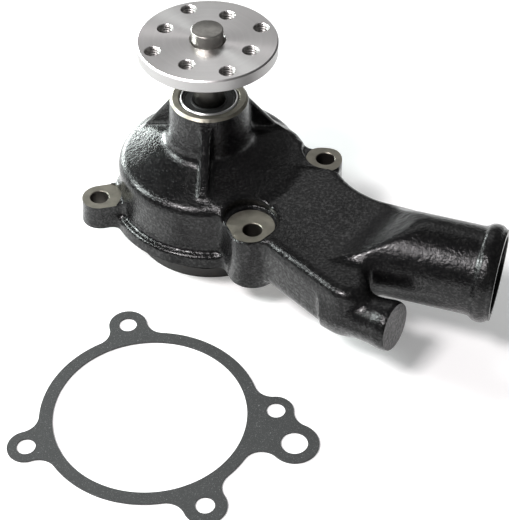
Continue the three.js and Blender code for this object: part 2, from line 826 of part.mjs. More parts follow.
piece("seal_spring", sealSpring(), SPRING_STEEL);
piece("seal_carbon_ring", sealCarbonRing(), CARBON);
piece("seal_seat_ring", sealSeatRing(), CERAMIC);
piece("seal_seat_cup", sealSeatCup(), BLACK_RUBBER);
piece("impeller", impeller(), CAST_IRON);
const gasketMesh = piece("gasket", gasket(), GASKET_PAPER);
gasketMesh.rotation.z = GASKET_TURN;
gasketMesh.position.set(GASKET_X, GASKET_Y, IMPELLER_REAR_Z);

// Stand the set on Z = 0, with the middle of its footprint at the origin.
pump.updateMatrixWorld(true);
const footprint = new THREE.Box3().setFromObject(pump, true);
const middle = footprint.getCenter(new THREE.Vector3());
pump.position.set(-middle.x, -middle.y, -footprint.min.z);

export default pump;
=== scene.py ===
"""Belt-driven coolant pump and its loose gasket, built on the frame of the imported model."""

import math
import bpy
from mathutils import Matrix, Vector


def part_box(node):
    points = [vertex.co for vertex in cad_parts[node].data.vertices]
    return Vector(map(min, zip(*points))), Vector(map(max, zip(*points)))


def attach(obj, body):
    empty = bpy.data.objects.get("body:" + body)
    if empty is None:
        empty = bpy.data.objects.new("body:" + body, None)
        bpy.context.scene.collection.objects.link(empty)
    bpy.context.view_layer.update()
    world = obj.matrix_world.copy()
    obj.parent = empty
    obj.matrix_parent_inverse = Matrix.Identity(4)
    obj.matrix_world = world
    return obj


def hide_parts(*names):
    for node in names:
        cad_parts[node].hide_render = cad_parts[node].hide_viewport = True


bl_info = {
    "name": "Water pump",
    "version": (1, 0, 0),
    "blender": (4, 5, 0),
    "location": "View3D > Sidebar > Water Pump",
    "description": "Builds a car engine's water pump piece by piece on its engineering frame",
    "category": "Object",
}

from itertools import product

import bmesh
import bpy
import numpy as np
from mathutils import Matrix, Vector

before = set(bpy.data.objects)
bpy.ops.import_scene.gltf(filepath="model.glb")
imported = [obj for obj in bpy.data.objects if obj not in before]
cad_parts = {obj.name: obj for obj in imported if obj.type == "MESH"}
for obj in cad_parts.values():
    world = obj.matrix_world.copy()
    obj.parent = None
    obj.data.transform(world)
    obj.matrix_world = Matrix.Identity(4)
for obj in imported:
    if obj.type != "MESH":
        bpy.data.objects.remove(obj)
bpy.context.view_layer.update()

MM = 0.001
TAU = 2 * math.pi

# Lengths below are millimetres in the pump's own frame: the shaft is x = y = 0, the face that bolts to the
# engine is z = 0, and the hose neck runs along +x. ORIGIN is where that frame sits in the model.
HUB_LOW, HUB_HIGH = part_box("hub_flange")
HOUSING_LOW, HOUSING_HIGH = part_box("housing")
ORIGIN = Vector(((HUB_LOW.x + HUB_HIGH.x) / 2, (HUB_LOW.y + HUB_HIGH.y) / 2, HOUSING_LOW.z))


def degrees_of(*angles):
    return [math.radians(angle) for angle in angles]


def top_of(node):
    """Height of a frame node's top over the mounting face, in millimetres."""
    return (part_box(node)[1].z - ORIGIN.z) / MM


def bottom_of(node):
    return (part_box(node)[0].z - ORIGIN.z) / MM


BOLT_CIRCLE_R = 60.3
BOLT_HOLE_R = 4.8
LEFT, FRONT, RIGHT, BACK = degrees_of(-148, -50, 14.4, 116.5)


def ear(angle, lobe, gasket_lobe, height, spot, offset=(0, 0)):
    """A bolt hole: its angle about the shaft, the radius of the lobe round it on the flange and on the
    gasket, the height of its seat, and the radius and offset of the spot face that cuts the seat."""
    return {
        "angle": angle,
        "lobe": lobe,
        "gasket_lobe": gasket_lobe,
        "height": height,
        "spot": spot,
        "offset": offset,
    }


EARS = {
    "left": ear(LEFT, 9.2, 9.0, 13.4, 11.8),
    "front": ear(FRONT, 11.6, 10.2, 28.4, 12.2, (-1.8, 2.2)),
    "right": ear(RIGHT, 8.7, 8.6, 31.7, 10.6),
    "back": ear(BACK, 9.2, 9.6, 13.4, 11.8),
}
BYPASS = {
    "angle": math.radians(-2.1),
    "radius": 71,
    "lobe": 11.4,
    "gasket_lobe": 11.8,
    "height": 20,
    "hole": 6.4,
    "depth": 11.5,
}


def polar(radius, angle):
    return radius * math.cos(angle), radius * math.sin(angle)


def hole_centre(hole):
    return polar(BOLT_CIRCLE_R, hole["angle"])


def spot_centre(hole):
    x, y = hole_centre(hole)
    return x + hole["offset"][0], y + hole["offset"][1]


def bypass_centre():
    return polar(BYPASS["radius"], BYPASS["angle"])


# ---------------------------------------------------------------------------------------------------
# Sizes and colours that a user would change
# ---------------------------------------------------------------------------------------------------


def size(name, description, default):
    return bpy.props.FloatProperty(
        name=name, description=description, default=default * MM, min=0, unit="LENGTH", precision=5
    )


def tint(name, description, default):
    return bpy.props.FloatVectorProperty(
        name=name, description=description, default=default, size=3, min=0, max=1, subtype="COLOR"
    )


class PumpSizes(bpy.types.PropertyGroup):
    """Sizes that change the look of the pump and leave its working dimensions alone"""

    casting_pitch: size("Casting grid", "Grid on which the castings are shaped", 0.87)
    fillet: size("Cast fillet", "Softness of the joins between walls of the casting", 6.0)
    cast_grain: size("Cast grain", "Width of one grain of the sand-cast surface", 1.3)
    grain_height: size("Grain height", "Height of the sand-cast grain", 0.36)
    hub_edge: size("Hub edge", "Chamfer on the rim of the pulley hub", 0.7)
    thread_depth: size("Thread depth", "Depth of the threads in the hub", 0.6)


class PumpColours(bpy.types.PropertyGroup):
    """Colours of the pump's finishes"""

    enamel: tint("Enamel", "Black enamel on the casting", (0.003, 0.003, 0.0032))
    machined_iron: tint("Machined iron", "Bare cut faces of the casting", (0.27, 0.257, 0.215))
    turned_steel: tint("Turned steel", "Pulley hub", (0.66, 0.645, 0.64))
    ground_steel: tint("Ground steel", "Shaft", (0.37, 0.357, 0.335))
    raw_iron: tint("Raw iron", "Impeller", (0.018, 0.017, 0.016))
    gasket: tint("Gasket", "Fibre sheet of the gasket", (0.043, 0.045, 0.045))
    gasket_fleck: tint("Gasket fleck", "Light fibres in the gasket sheet", (0.27, 0.28, 0.28))
    floor: tint("Floor", "Studio floor", (0.9, 0.9, 0.9))


# ---------------------------------------------------------------------------------------------------
# Shader writing
# ---------------------------------------------------------------------------------------------------


class Signal:
    """An output socket whose arithmetic adds Math nodes."""

    def __init__(self, paint, socket):
        self.paint = paint
        self.socket = socket

    def __add__(self, other):
        return self.paint.maths("ADD", self, other)

    def __radd__(self, other):
        return self.paint.maths("ADD", other, self)

    def __sub__(self, other):
        return self.paint.maths("SUBTRACT", self, other)

    def __rsub__(self, other):
        return self.paint.maths("SUBTRACT", other, self)

    def __mul__(self, other):
        return self.paint.maths("MULTIPLY", self, other)


class Paint:
    """A material under construction, with one Principled shader."""

    def __init__(self, name):
        self.material = bpy.data.materials.new(name)
        self.material.use_nodes = True
        self.tree = self.material.node_tree
        self.tree.nodes.clear()
        output = self.tree.nodes.new("ShaderNodeOutputMaterial")
        self.shader = self.tree.nodes.new("ShaderNodeBsdfPrincipled")
        self.tree.links.new(self.shader.outputs[0], output.inputs["Surface"])

    def feed(self, socket, value):
        if isinstance(value, Signal):
            self.tree.links.new(value.socket, socket)
        else:
            socket.default_value = value

    def node(self, kind, settings=None, sockets=None, output=0):
        """Adds a node: settings first, then values or links, and gives one of its outputs."""
        made = self.tree.nodes.new(kind)
        for name, value in (settings or {}).items():
            setattr(made, name, value)
        for name, value in (sockets or {}).items():
            self.feed(made.inputs[name], value)
        return Signal(self, made.outputs[output])

    def maths(self, operation, *values):
        return self.node("ShaderNodeMath", {"operation": operation}, dict(enumerate(values)))

    def smooth(self, value, low, high):
        """0 below low, 1 above high, and a soft step between."""
        sockets = {"Value": value, "From Min": low, "From Max": high}
        return self.node("ShaderNodeMapRange", {"interpolation_type": "SMOOTHSTEP"}, sockets)

    def colour_mix(self, factor, first, second):
        sockets = {0: factor, 6: self.colour(first), 7: self.colour(second)}
        return self.node("ShaderNodeMix", {"data_type": "RGBA"}, sockets, output=2)

    @staticmethod
    def colour(value):
        return value if isinstance(value, Signal) else (*value[:3], 1)

    def place(self):
        """Position on the piece at rest, in metres."""
        return self.node("ShaderNodeTexCoord", output="Object")

    def centred(self, x=0, y=0):
        """Position measured from an upright axis at x, y of the pump's frame."""
        foot = (-(ORIGIN.x + x * MM), -(ORIGIN.y + y * MM), -ORIGIN.z)
        return self.node("ShaderNodeVectorMath", {"operation": "ADD"}, {0: self.place(), 1: foot})

    def split(self, vector):
        return [self.node("ShaderNodeSeparateXYZ", None, {0: vector}, output=axis) for axis in "XYZ"]

    def distance_from_axis(self, x=0, y=0):
        """Distance from an upright axis, in metres."""
        across, along, _ = self.split(self.centred(x, y))
        return self.maths("SQRT", across * across + along * along)

    def noise(self, width, detail=2.0, roughness=0.5, distortion=0.0):
        """Noise from 0 to 1 whose grains are about width metres wide."""
        sockets = {
            "Vector": self.place(),
            "Scale": 1 / width,
            "Detail": detail,
            "Roughness": roughness,
            "Distortion": distortion,
        }
        return self.node("ShaderNodeTexNoise", None, sockets)

    def line_noise(self, value, width, detail=2.0):
        """Noise that changes along one value only, such as the distance from an axis."""
        sockets = {"W": value, "Scale": 1 / width, "Detail": detail}
        return self.node("ShaderNodeTexNoise", {"noise_dimensions": "1D"}, sockets)

    def cells(self, width):
        """Distance from the middle of the nearest of many cells about width metres wide."""
        return self.node("ShaderNodeTexVoronoi", None, {"Vector": self.place(), "Scale": 1 / width})

    def bump(self, height, depth):
        """Raises the surface by height (0 to 1) times depth metres."""
        return self.node("ShaderNodeBump", None, {"Height": height, "Distance": depth, "Strength": 1.0})

    def finish(self, **sockets):
        """Sets the shader's sockets: constants are set, signals are linked."""
        for name, value in sockets.items():
            socket = self.shader.inputs[name.replace("_", " ").title().replace("Ior", "IOR")]
            if name == "base_color":
                value = self.colour(value)
            self.feed(socket, value)
        return self.material


# ---------------------------------------------------------------------------------------------------
# Finishes
# ---------------------------------------------------------------------------------------------------


def black_enamel(context):
    """Glossy black enamel that follows the grain of the sand mould under it."""
    sizes, colours = context.scene.pump_sizes, context.scene.pump_colours
    paint = Paint("black_enamel")
    grain = sizes.cast_grain
    fine = paint.noise(grain, detail=3, roughness=0.6)
    coarse = paint.noise(grain * 2.6, detail=2, roughness=0.5)
    swell = paint.noise(grain * 11, detail=2)
    height = fine * 0.75 + coarse * 0.5 + swell * 0.7
    dull = paint.smooth(paint.noise(grain * 12, detail=3), 0.42, 0.68)
    dust = paint.smooth(paint.noise(grain * 2, detail=4, roughness=0.7), 0.6, 0.8)
    crest = paint.smooth(fine, 0.46, 0.66)
    # The grain's crests are painted lighter as a painted glint; the dust that also lightens the colour is
    # real dust.
    base = paint.colour_mix(crest * 0.4 + dust * 0.2, colours.enamel, (0.016, 0.0155, 0.015))
    return paint.finish(
        base_color=base,
        specular_ior_level=0.28,
        roughness=0.17 + dull * 0.1 + dust * 0.1,
        coat_weight=crest * 0.5,
        coat_roughness=0.15,
        normal=paint.bump(height, sizes.grain_height),
    )


def machined_iron(context):
    """Bare grey iron with the cutter's rings round each bolt hole and round the shaft."""
    colours = context.scene.pump_colours
    paint = Paint("machined_iron")
    nearest = paint.distance_from_axis()
    for hole in EARS.values():
        nearest = paint.maths("MINIMUM", nearest, paint.distance_from_axis(*hole_centre(hole)))
    rings = paint.line_noise(nearest, 0.35 * MM, detail=2)
    pores = paint.smooth(paint.noise(0.5 * MM, detail=3, roughness=0.65), 0.60, 0.72)
    stain = paint.smooth(paint.noise(6 * MM, detail=3), 0.35, 0.7)
    clean = paint.colour_mix(stain * 0.6, colours.machined_iron, [0.62 * c for c in colours.machined_iron])
    pitted = paint.colour_mix(pores * 0.6, clean, (0.05, 0.045, 0.04))
    # The walls of the bolt holes are painted dark as painted shade inside the holes.
    in_hole = paint.smooth(nearest, (BOLT_HOLE_R + 0.4) * MM, (BOLT_HOLE_R - 0.1) * MM)
    return paint.finish(
        base_color=paint.colour_mix(in_hole, pitted, (0.05, 0.045, 0.04)),
        metallic=0.85 - pores * 0.4,
        roughness=0.36 + rings * 0.12 + pores * 0.2,
        normal=paint.bump(rings * 0.8 - pores * 0.9, 0.02 * MM),
    )


def turned_steel(context):
    """Bright steel off the lathe, with fine rings about the shaft."""
    colours = context.scene.pump_colours
    paint = Paint("turned_steel")
    away = paint.distance_from_axis()
    up = paint.split(paint.centred())[2]
    fine = paint.line_noise(away + up * 1.7, 0.12 * MM, detail=2)
    broad = paint.line_noise(away - up * 1.3, 1.6 * MM, detail=2)
    smear = paint.noise(9 * MM, detail=3)
    shade = paint.colour_mix(broad * 0.35, colours.turned_steel, [0.72 * c for c in colours.turned_steel])
    # The hub's rim and side are painted darker, a painted shade that tones down their reflection of the
    # floor.
    rim = paint.smooth(away, (HUB_R - 0.6) * MM, (HUB_R - 0.1) * MM)
    return paint.finish(
        base_color=paint.colour_mix(rim * 0.8, shade, [0.52 * c for c in colours.turned_steel]),
        metallic=1.0,
        roughness=0.24 + fine * 0.08 + smear * 0.06,
        anisotropic=0.85,
        normal=paint.bump(fine, 0.008 * MM),
    )


def thread_steel():
    """Cut threads, painted darker than the hub steel as painted shade inside the holes, and mottled darker
    still where oil lies.
    """
    paint = Paint("thread_steel")
    oil = paint.smooth(paint.noise(2 * MM, detail=3), 0.35, 0.7)
    grain = paint.noise(0.3 * MM, detail=2)
    return paint.finish(
        # Both colours are darker than the hub steel: painted shade inside the threaded holes.
        base_color=paint.colour_mix(oil, (0.4, 0.39, 0.38), (0.16, 0.155, 0.15)),
        metallic=1.0,
        roughness=0.34 + grain * 0.12,
        normal=paint.bump(grain, 0.01 * MM),
    )


def ground_steel(context):
    """Hard shaft steel, ground round; the length under the hub is painted dark as painted shade."""
    colours = context.scene.pump_colours
    paint = Paint("ground_steel")
    away = paint.distance_from_axis()
    up = paint.split(paint.centred())[2]
    lines = paint.line_noise(up + away, 0.2 * MM, detail=3)
    brown = paint.smooth(paint.noise(3 * MM, detail=4, roughness=0.6), 0.35, 0.7)
    bright = paint.colour_mix(brown * 0.5, colours.ground_steel, [0.6 * c for c in colours.ground_steel])
    # Below the hub the shaft is painted nearly black, a painted shade under the hub.
    under_hub_shade = paint.smooth(up, UNDER_HUB_SHADE_STARTS * MM, UNDER_HUB_SHADE_FULL * MM)
    return paint.finish(
        base_color=paint.colour_mix(under_hub_shade * 0.85, bright, (0.03, 0.028, 0.026)),
        metallic=1.0,
        roughness=0.27 + lines * 0.12 + brown * 0.08,
        normal=paint.bump(lines, 0.008 * MM),
    )


def bearing_steel():
    """Polished ring and rollers."""
    paint = Paint("bearing_steel")
    up = paint.split(paint.centred())[2]
    lines = paint.line_noise(up + paint.distance_from_axis(), 0.15 * MM)
    haze = paint.noise(4 * MM, detail=2)
    return paint.finish(
        base_color=paint.colour_mix(haze * 0.3, (0.66, 0.66, 0.66), (0.5, 0.5, 0.49)),
        metallic=1.0,
        roughness=0.24 + lines * 0.08 + haze * 0.05,
        normal=paint.bump(lines, 0.003 * MM),
    )


def plated_steel():
    """Thin plating with a faint yellow cast."""
    paint = Paint("plated_steel")
    cloud = paint.noise(3 * MM, detail=3)
    grain = paint.noise(0.3 * MM, detail=2)
    return paint.finish(
        base_color=paint.colour_mix(cloud, (0.58, 0.58, 0.56), (0.5, 0.49, 0.44)),
        metallic=1.0,
        roughness=0.24 + grain * 0.12,
        normal=paint.bump(grain, 0.008 * MM),
    )


def raw_iron(context):
    """Impeller casting: dark sand-cast iron."""
    colours = context.scene.pump_colours
    paint = Paint("cast_iron")
    grain = paint.noise(0.9 * MM, detail=4, roughness=0.6)
    swell = paint.noise(5 * MM, detail=2)
    rust = paint.smooth(paint.noise(4 * MM, detail=4, roughness=0.65), 0.52, 0.75)
    return paint.finish(
        base_color=paint.colour_mix(rust * 0.6, colours.raw_iron, (0.03, 0.022, 0.017)),
        metallic=0.2,
        roughness=0.5 + grain * 0.2,
        normal=paint.bump(grain + swell, 0.12 * MM),
    )


def black_rubber():
    """Moulded nitrile rubber."""
    paint = Paint("black_rubber")
    skin = paint.noise(0.25 * MM, detail=2)
    bloom = paint.smooth(paint.noise(3 * MM, detail=3), 0.4, 0.75)
    return paint.finish(
        base_color=paint.colour_mix(bloom * 0.5, (0.012, 0.012, 0.012), (0.026, 0.026, 0.027)),
        roughness=0.5 + skin * 0.15,
        normal=paint.bump(skin, 0.01 * MM),
    )


def cage_polymer():
    """Natural polyamide of the bearing cages."""
    paint = Paint("cage_polymer")
    cloud = paint.noise(2.5 * MM, detail=3)
    skin = paint.noise(0.2 * MM, detail=2)
    return paint.finish(
        base_color=paint.colour_mix(cloud, (0.64, 0.57, 0.41), (0.55, 0.47, 0.31)),
        roughness=0.42 + skin * 0.12,
        normal=paint.bump(skin, 0.008 * MM),
    )


def drawn_brass():
    """Case of the face seal, drawn from brass sheet."""
    paint = Paint("drawn_brass")
    up = paint.split(paint.centred())[2]
    draw = paint.line_noise(paint.distance_from_axis() + up * 0.2, 0.3 * MM)
    tarnish = paint.smooth(paint.noise(3 * MM, detail=4, roughness=0.6), 0.45, 0.75)
    return paint.finish(
        base_color=paint.colour_mix(tarnish * 0.6, (0.62, 0.45, 0.19), (0.36, 0.23, 0.1)),
        metallic=1.0,
        roughness=0.25 + tarnish * 0.15 + draw * 0.06,
        normal=paint.bump(draw, 0.006 * MM),
    )


def seal_carbon():
    """Pressed seal carbon."""
    paint = Paint("seal_carbon")
    grain = paint.noise(0.12 * MM, detail=3)
    return paint.finish(
        base_color=paint.colour_mix(grain, (0.018, 0.018, 0.02), (0.05, 0.05, 0.055)),
        metallic=0.15,
        roughness=0.38 + grain * 0.15,
        normal=paint.bump(grain, 0.006 * MM),
    )


def seal_ceramic():
    """White alumina of the seal's turning ring."""
    paint = Paint("seal_ceramic")
    cloud = paint.noise(2 * MM, detail=3)
    skin = paint.noise(0.15 * MM, detail=2)
    return paint.finish(
        base_color=paint.colour_mix(cloud * 0.6, (0.8, 0.78, 0.72), (0.7, 0.67, 0.6)),
        roughness=0.22 + skin * 0.1,
        normal=paint.bump(skin, 0.004 * MM),
    )


def gasket_sheet(context):
    """Dark fibre sheet: short light fibres pressed into grey binder."""
    colours = context.scene.pump_colours
    paint = Paint("gasket_paper")
    fibres = paint.smooth(paint.noise(0.62 * MM, detail=5, roughness=0.72, distortion=0.8), 0.565, 0.70)
    specks = paint.smooth(paint.cells(0.9 * MM), 0.16, 0.02)
    cloud = paint.noise(7 * MM, detail=3)
    light = paint.maths("MAXIMUM", fibres * 0.85, specks * 0.7)
    body = paint.colour_mix(cloud * 0.5, colours.gasket, [0.7 * c for c in colours.gasket])
    return paint.finish(
        base_color=paint.colour_mix(light, body, colours.gasket_fleck),
        roughness=0.8 + cloud * 0.1,
        normal=paint.bump(fibres * 0.5 + paint.noise(0.5 * MM, detail=4) * 0.8, 0.07 * MM),
    )


# ---------------------------------------------------------------------------------------------------
# Mesh tools
# ---------------------------------------------------------------------------------------------------


def mesh_piece(name, points, faces):
    """An object from points in millimetres of the pump's frame."""
    mesh = bpy.data.meshes.new(name)
    placed = np.asarray(points, float) * MM + np.array(ORIGIN)
    mesh.from_pydata(placed.tolist(), [], [tuple(face) for face in faces])
    mesh.validate()
    piece = bpy.data.objects.new(name, mesh)
    bpy.context.scene.collection.objects.link(piece)
    return piece


def settle(piece):
    """Applies a piece's modifiers."""
    graph = bpy.context.evaluated_depsgraph_get()
    done = bpy.data.meshes.new_from_object(piece.evaluated_get(graph), depsgraph=graph)
    piece.modifiers.clear()
    old = piece.data
    piece.data = done
    bpy.data.meshes.remove(old)


def cut(piece, *cutters):
    """Cuts other pieces out of a piece, and removes them."""
    for cutter in cutters:
        boolean = piece.modifiers.new("cut", "BOOLEAN")
        boolean.operation = "DIFFERENCE"
        boolean.solver = "MANIFOLD"
        boolean.object = cutter
    settle(piece)
    for cutter in cutters:
        bpy.data.objects.remove(cutter)


def shade(piece, edge_angle=32):
    """Smooth shading that keeps edges sharper than the angle."""
    piece.data.shade_smooth()
    piece.data.set_sharp_from_angle(angle=math.radians(edge_angle))


def bevel(piece, width, angle=35):
    """Breaks every edge sharper than the angle, in degrees."""
    modifier = piece.modifiers.new("edge", "BEVEL")
    modifier.width = width * MM
    modifier.segments = 1
    modifier.limit_method = "ANGLE"
    modifier.angle_limit = math.radians(angle)
    settle(piece)


def dress(piece, *materials):
    """Gives a piece its materials, in the order of their indices."""
    piece.data.materials.clear()
    for material in materials:
        piece.data.materials.append(material)


def finish_piece(piece, body, nodes, materials=(), edge_angle=32):
    """Gives a piece its finish, unless it has one already, and joins it to the frame."""
    if materials:
        dress(piece, *materials)
    shade(piece, edge_angle)
    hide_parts(*nodes)
    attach(piece, body)


def arc(cx, cy, radius, start, end, steps):
    """Points along an arc in degrees, both ends included."""
    angles = np.radians(np.linspace(start, end, steps + 1))
    return [(cx + radius * math.cos(a), cy + radius * math.sin(a)) for a in angles]


def lathe(name, section, segments=96, centre=(0, 0)):
    """Turns a closed section of (radius, height) about an upright axis."""
    points = []
    rows = []
    on_axis = [radius < 1e-6 for radius, _ in section]
    for (radius, height), single in zip(section, on_axis):
        if single:
            points.append((centre[0], centre[1], height))
            rows.append([len(points) - 1] * segments)
            continue
        start = len(points)
        for k in range(segments):
            x, y = polar(radius, TAU * k / segments)
            points.append((centre[0] + x, centre[1] + y, height))
        rows.append(list(range(start, start + segments)))
    faces = []
    for i, this in enumerate(rows):
        above = rows[(i + 1) % len(rows)]
        if on_axis[i] and on_axis[(i + 1) % len(rows)]:
            continue
        for k in range(segments):
            n = (k + 1) % segments
            corners = [this[k], this[n], above[n], above[k]]
            unique = [c for j, c in enumerate(corners) if c != corners[j - 1]]
            faces.append(unique)
    piece = mesh_piece(name, points, faces)
    outward(piece)
    return piece


def tube_faces(rows, around):
    """Faces of a tube whose points run round it row after row, with a cap on each end."""
    faces = [tuple(range(around))[::-1], tuple(range((rows - 1) * around, rows * around))]
    for row in range(rows - 1):
        for k in range(around):
            n = (k + 1) % around
            a = row * around
            faces.append((a + k, a + n, a + around + n, a + around + k))
    return faces


def outward(piece):
    """Makes the faces of a closed mesh look outwards."""
    mesh = bmesh.new()
    mesh.from_mesh(piece.data)
    bmesh.ops.recalc_face_normals(mesh, faces=mesh.faces)
    mesh.to_mesh(piece.data)
    mesh.free()


def mend(piece):
    """Closes the few places where the grid pinches a surface, so that it can be cut."""
    mesh = bmesh.new()
    mesh.from_mesh(piece.data)
    pinched = [edge for edge in mesh.edges if not edge.is_manifold]
    faces = {face for edge in pinched for corner in edge.verts for face in corner.link_faces}
    bmesh.ops.delete(mesh, geom=list(faces), context="FACES")
    bmesh.ops.holes_fill(mesh, edges=[edge for edge in mesh.edges if edge.is_boundary], sides=0)
    if any(not edge.is_manifold for edge in mesh.edges):
        raise RuntimeError(f"{piece.name} isn't closed")
    mesh.to_mesh(piece.data)
    mesh.free()


def thin_out(piece, share):
    """Keeps a share of a casting's faces, most of them where it curves."""
    mend(piece)
    modifier = piece.modifiers.new("thin", "DECIMATE")
    modifier.ratio = share
    settle(piece)
    mend(piece)


def drill(x, y, radius, bottom, top, segments=48, tip=0.0):
    """A round cutter; a tip closes it with a drill's cone."""
    section = [(0, bottom), (radius, bottom), (radius, top), (0, top + tip)]
    return lathe("drill", section, segments, (x, y))


def aim(direction):
    """The turn that points an upright piece along a direction."""
    return Vector(direction).to_track_quat("Z", "Y").to_matrix().to_4x4()


def place(piece, turn, point):
    """Turns a piece about the origin of the pump's frame and moves it to a point, in millimetres."""
    move = Matrix.Translation(ORIGIN + Vector(point) * MM) @ turn @ Matrix.Translation(-ORIGIN)
    piece.data.transform(move)


def face_places(mesh):
    """Centres of a mesh's faces, in millimetres of the pump's frame, and their normals."""
    centres = np.empty(len(mesh.polygons) * 3)
    normals = np.empty(len(mesh.polygons) * 3)
    mesh.polygons.foreach_get("center", centres)
    mesh.polygons.foreach_get("normal", normals)
    return ((centres.reshape(-1, 3) - np.array(ORIGIN)) / MM).T, normals.reshape(-1, 3).T


def mark_faces(piece, chosen):
    """Gives the second material to the chosen faces."""
    piece.data.polygons.foreach_set("material_index", chosen.astype(np.int32))


def prism(name, outline, bottom, top):
    """An upright prism over a plan outline."""
    count = len(outline)
    points = [(x, y, bottom) for x, y in outline] + [(x, y, top) for x, y in outline]
    sides = [(i, (i + 1) % count, count + (i + 1) % count, count + i) for i in range(count)]
    piece = mesh_piece(name, points, [tuple(range(count))[::-1], tuple(range(count, 2 * count)), *sides])
    outward(piece)
    return piece


# ---------------------------------------------------------------------------------------------------
# Shapes of the castings, as distances: negative inside the metal
# ---------------------------------------------------------------------------------------------------


def smooth_min(a, b, blend):
    """Joins two shapes with a fillet."""
    near = np.maximum(blend - np.abs(a - b), 0) / blend
    return np.minimum(a, b) - near * near * blend / 4


def smooth_max(a, b, blend):
    """Keeps what two shapes share, with a rounded edge."""
    return -smooth_min(-a, -b, blend)


def outline_distance(x, y, corners):
    """Distance to a closed outline in the plane of x and y."""
    inside = np.zeros(np.broadcast(x, y).shape, bool)
    nearest = np.full(inside.shape, np.inf, np.float32)
    for (ax, ay), (bx, by) in zip(corners, corners[1:] + corners[:1]):
        ex, ey = bx - ax, by - ay
        wx, wy = x - ax, y - ay
        along = np.clip((wx * ex + wy * ey) / (ex * ex + ey * ey), 0, 1)
        nearest = np.minimum(nearest, np.hypot(wx - along * ex, wy - along * ey))
        crosses = (ay > y) != (by > y)
        inside ^= crosses & (x < ex * wy / (ey or 1) + ax)
    return np.where(inside, -nearest, nearest)


def slab_distance(plan, z, bottom, top, blend=0.5):
    """Distance to an upright prism, from the distance to its plan."""
    middle, half = (top + bottom) / 2, (top - bottom) / 2
    return smooth_max(plan, np.abs(z - middle) - half, blend)


def turned_distance(radius, along, section, step=0.25):
    """Distance to a turned shape, looked up in a table of its section."""
    radii = np.arange(0, float(radius.max()) + 1, step, dtype=np.float32)
    levels = np.arange(float(along.min()) - 1, float(along.max()) + 1, step, dtype=np.float32)
    table = outline_distance(radii[:, None], levels[None, :], section)
    across = np.clip(radius / step, 0, len(radii) - 1.001)
    up = (along - levels[0]) / step
    i, j = across.astype(int), up.astype(int)
    s, t = across - i, up - j
    low = table[i, j] * (1 - t) + table[i, j + 1] * t
    high = table[i + 1, j] * (1 - t) + table[i + 1, j + 1] * t
    return low * (1 - s) + high * s


class Block:
    """A grid of points, in millimetres of the pump's frame, on which a casting is shaped."""

    def __init__(self, low, high, pitch):
        self.low = np.array(low, float)
        self.pitch = pitch
        axes = [np.arange(a, b + pitch, pitch, dtype=np.float32) for a, b in zip(low, high)]
        self.x, self.y, self.z = np.meshgrid(*axes, indexing="ij", sparse=True)

    def skin(self, name, values):
        """The surface where the distance is zero, as a mesh with one point in each cell that it crosses."""
        values = np.broadcast_to(values, np.broadcast(self.x, self.y, self.z).shape)
        inside = values < 0
        cells_shape = np.array(values.shape) - 1
        count = np.zeros(cells_shape, np.int8)
        for corner in product((0, 1), repeat=3):
            count += inside[tuple(slice(k, k + n) for k, n in zip(corner, cells_shape))]
        mixed = (count > 0) & (count < 8)
        index = np.full(cells_shape, -1)
        index[mixed] = np.arange(mixed.sum())
        cells = np.argwhere(mixed)
        total = np.zeros((len(cells), 3))
        hits = np.zeros(len(cells))
        for axis in range(3):
            step = np.eye(3, dtype=int)[axis]
            for corner in product((0, 1), repeat=3):
                if corner[axis]:
                    continue
                start = cells + corner
                a = values[tuple(start.T)]
                b = values[tuple((start + step).T)]
                crosses = (a < 0) != (b < 0)
                share = a[crosses] / (a[crosses] - b[crosses])
                total[crosses] += np.array(corner) + share[:, None] * step
                hits += crosses
        points = self.low + self.pitch * (cells + total / hits[:, None])
        faces = []
        for axis in range(3):
            u, v = np.eye(3, dtype=int)[(axis + 1) % 3], np.eye(3, dtype=int)[(axis + 2) % 3]
            low_side = np.take(inside, range(values.shape[axis] - 1), axis)
            high_side = np.take(inside, range(1, values.shape[axis]), axis)
            edges = np.argwhere(low_side != high_side)
            kept = np.all((edges - u >= 0) & (edges - v >= 0) & (edges < cells_shape), axis=1)
            edges = edges[kept]
            quads = np.stack([index[tuple((edges - back).T)] for back in (u + v, v, 0 * u, u)], 1)
            flip = ~inside[tuple(edges.T)]
            quads[flip] = quads[flip][:, ::-1]
            faces.append(quads)
        return mesh_piece(name, points, np.concatenate(faces).tolist())


# ---------------------------------------------------------------------------------------------------
# Outline that flange and gasket share: a ring with lobes, joined by hollow fillets
# ---------------------------------------------------------------------------------------------------


def fillet_centre(a, b, fillet):
    """Centre of the circle that touches circles a and b from outside, on the right of a to b."""
    ra, rb = a[2] + fillet, b[2] + fillet
    dx, dy = b[0] - a[0], b[1] - a[1]
    gap = math.hypot(dx, dy)
    along = (ra * ra - rb * rb + gap * gap) / (2 * gap)
    across = math.sqrt(ra * ra - along * along)
    return a[0] + (dx * along + dy * across) / gap, a[1] + (dy * along - dx * across) / gap


def sweep(cx, cy, radius, start, end, step=4):
    """Points along an arc in radians, about one every step degrees."""
    steps = max(2, round(abs(math.degrees(end - start)) / step))
    return arc(cx, cy, radius, math.degrees(start), math.degrees(end), steps)


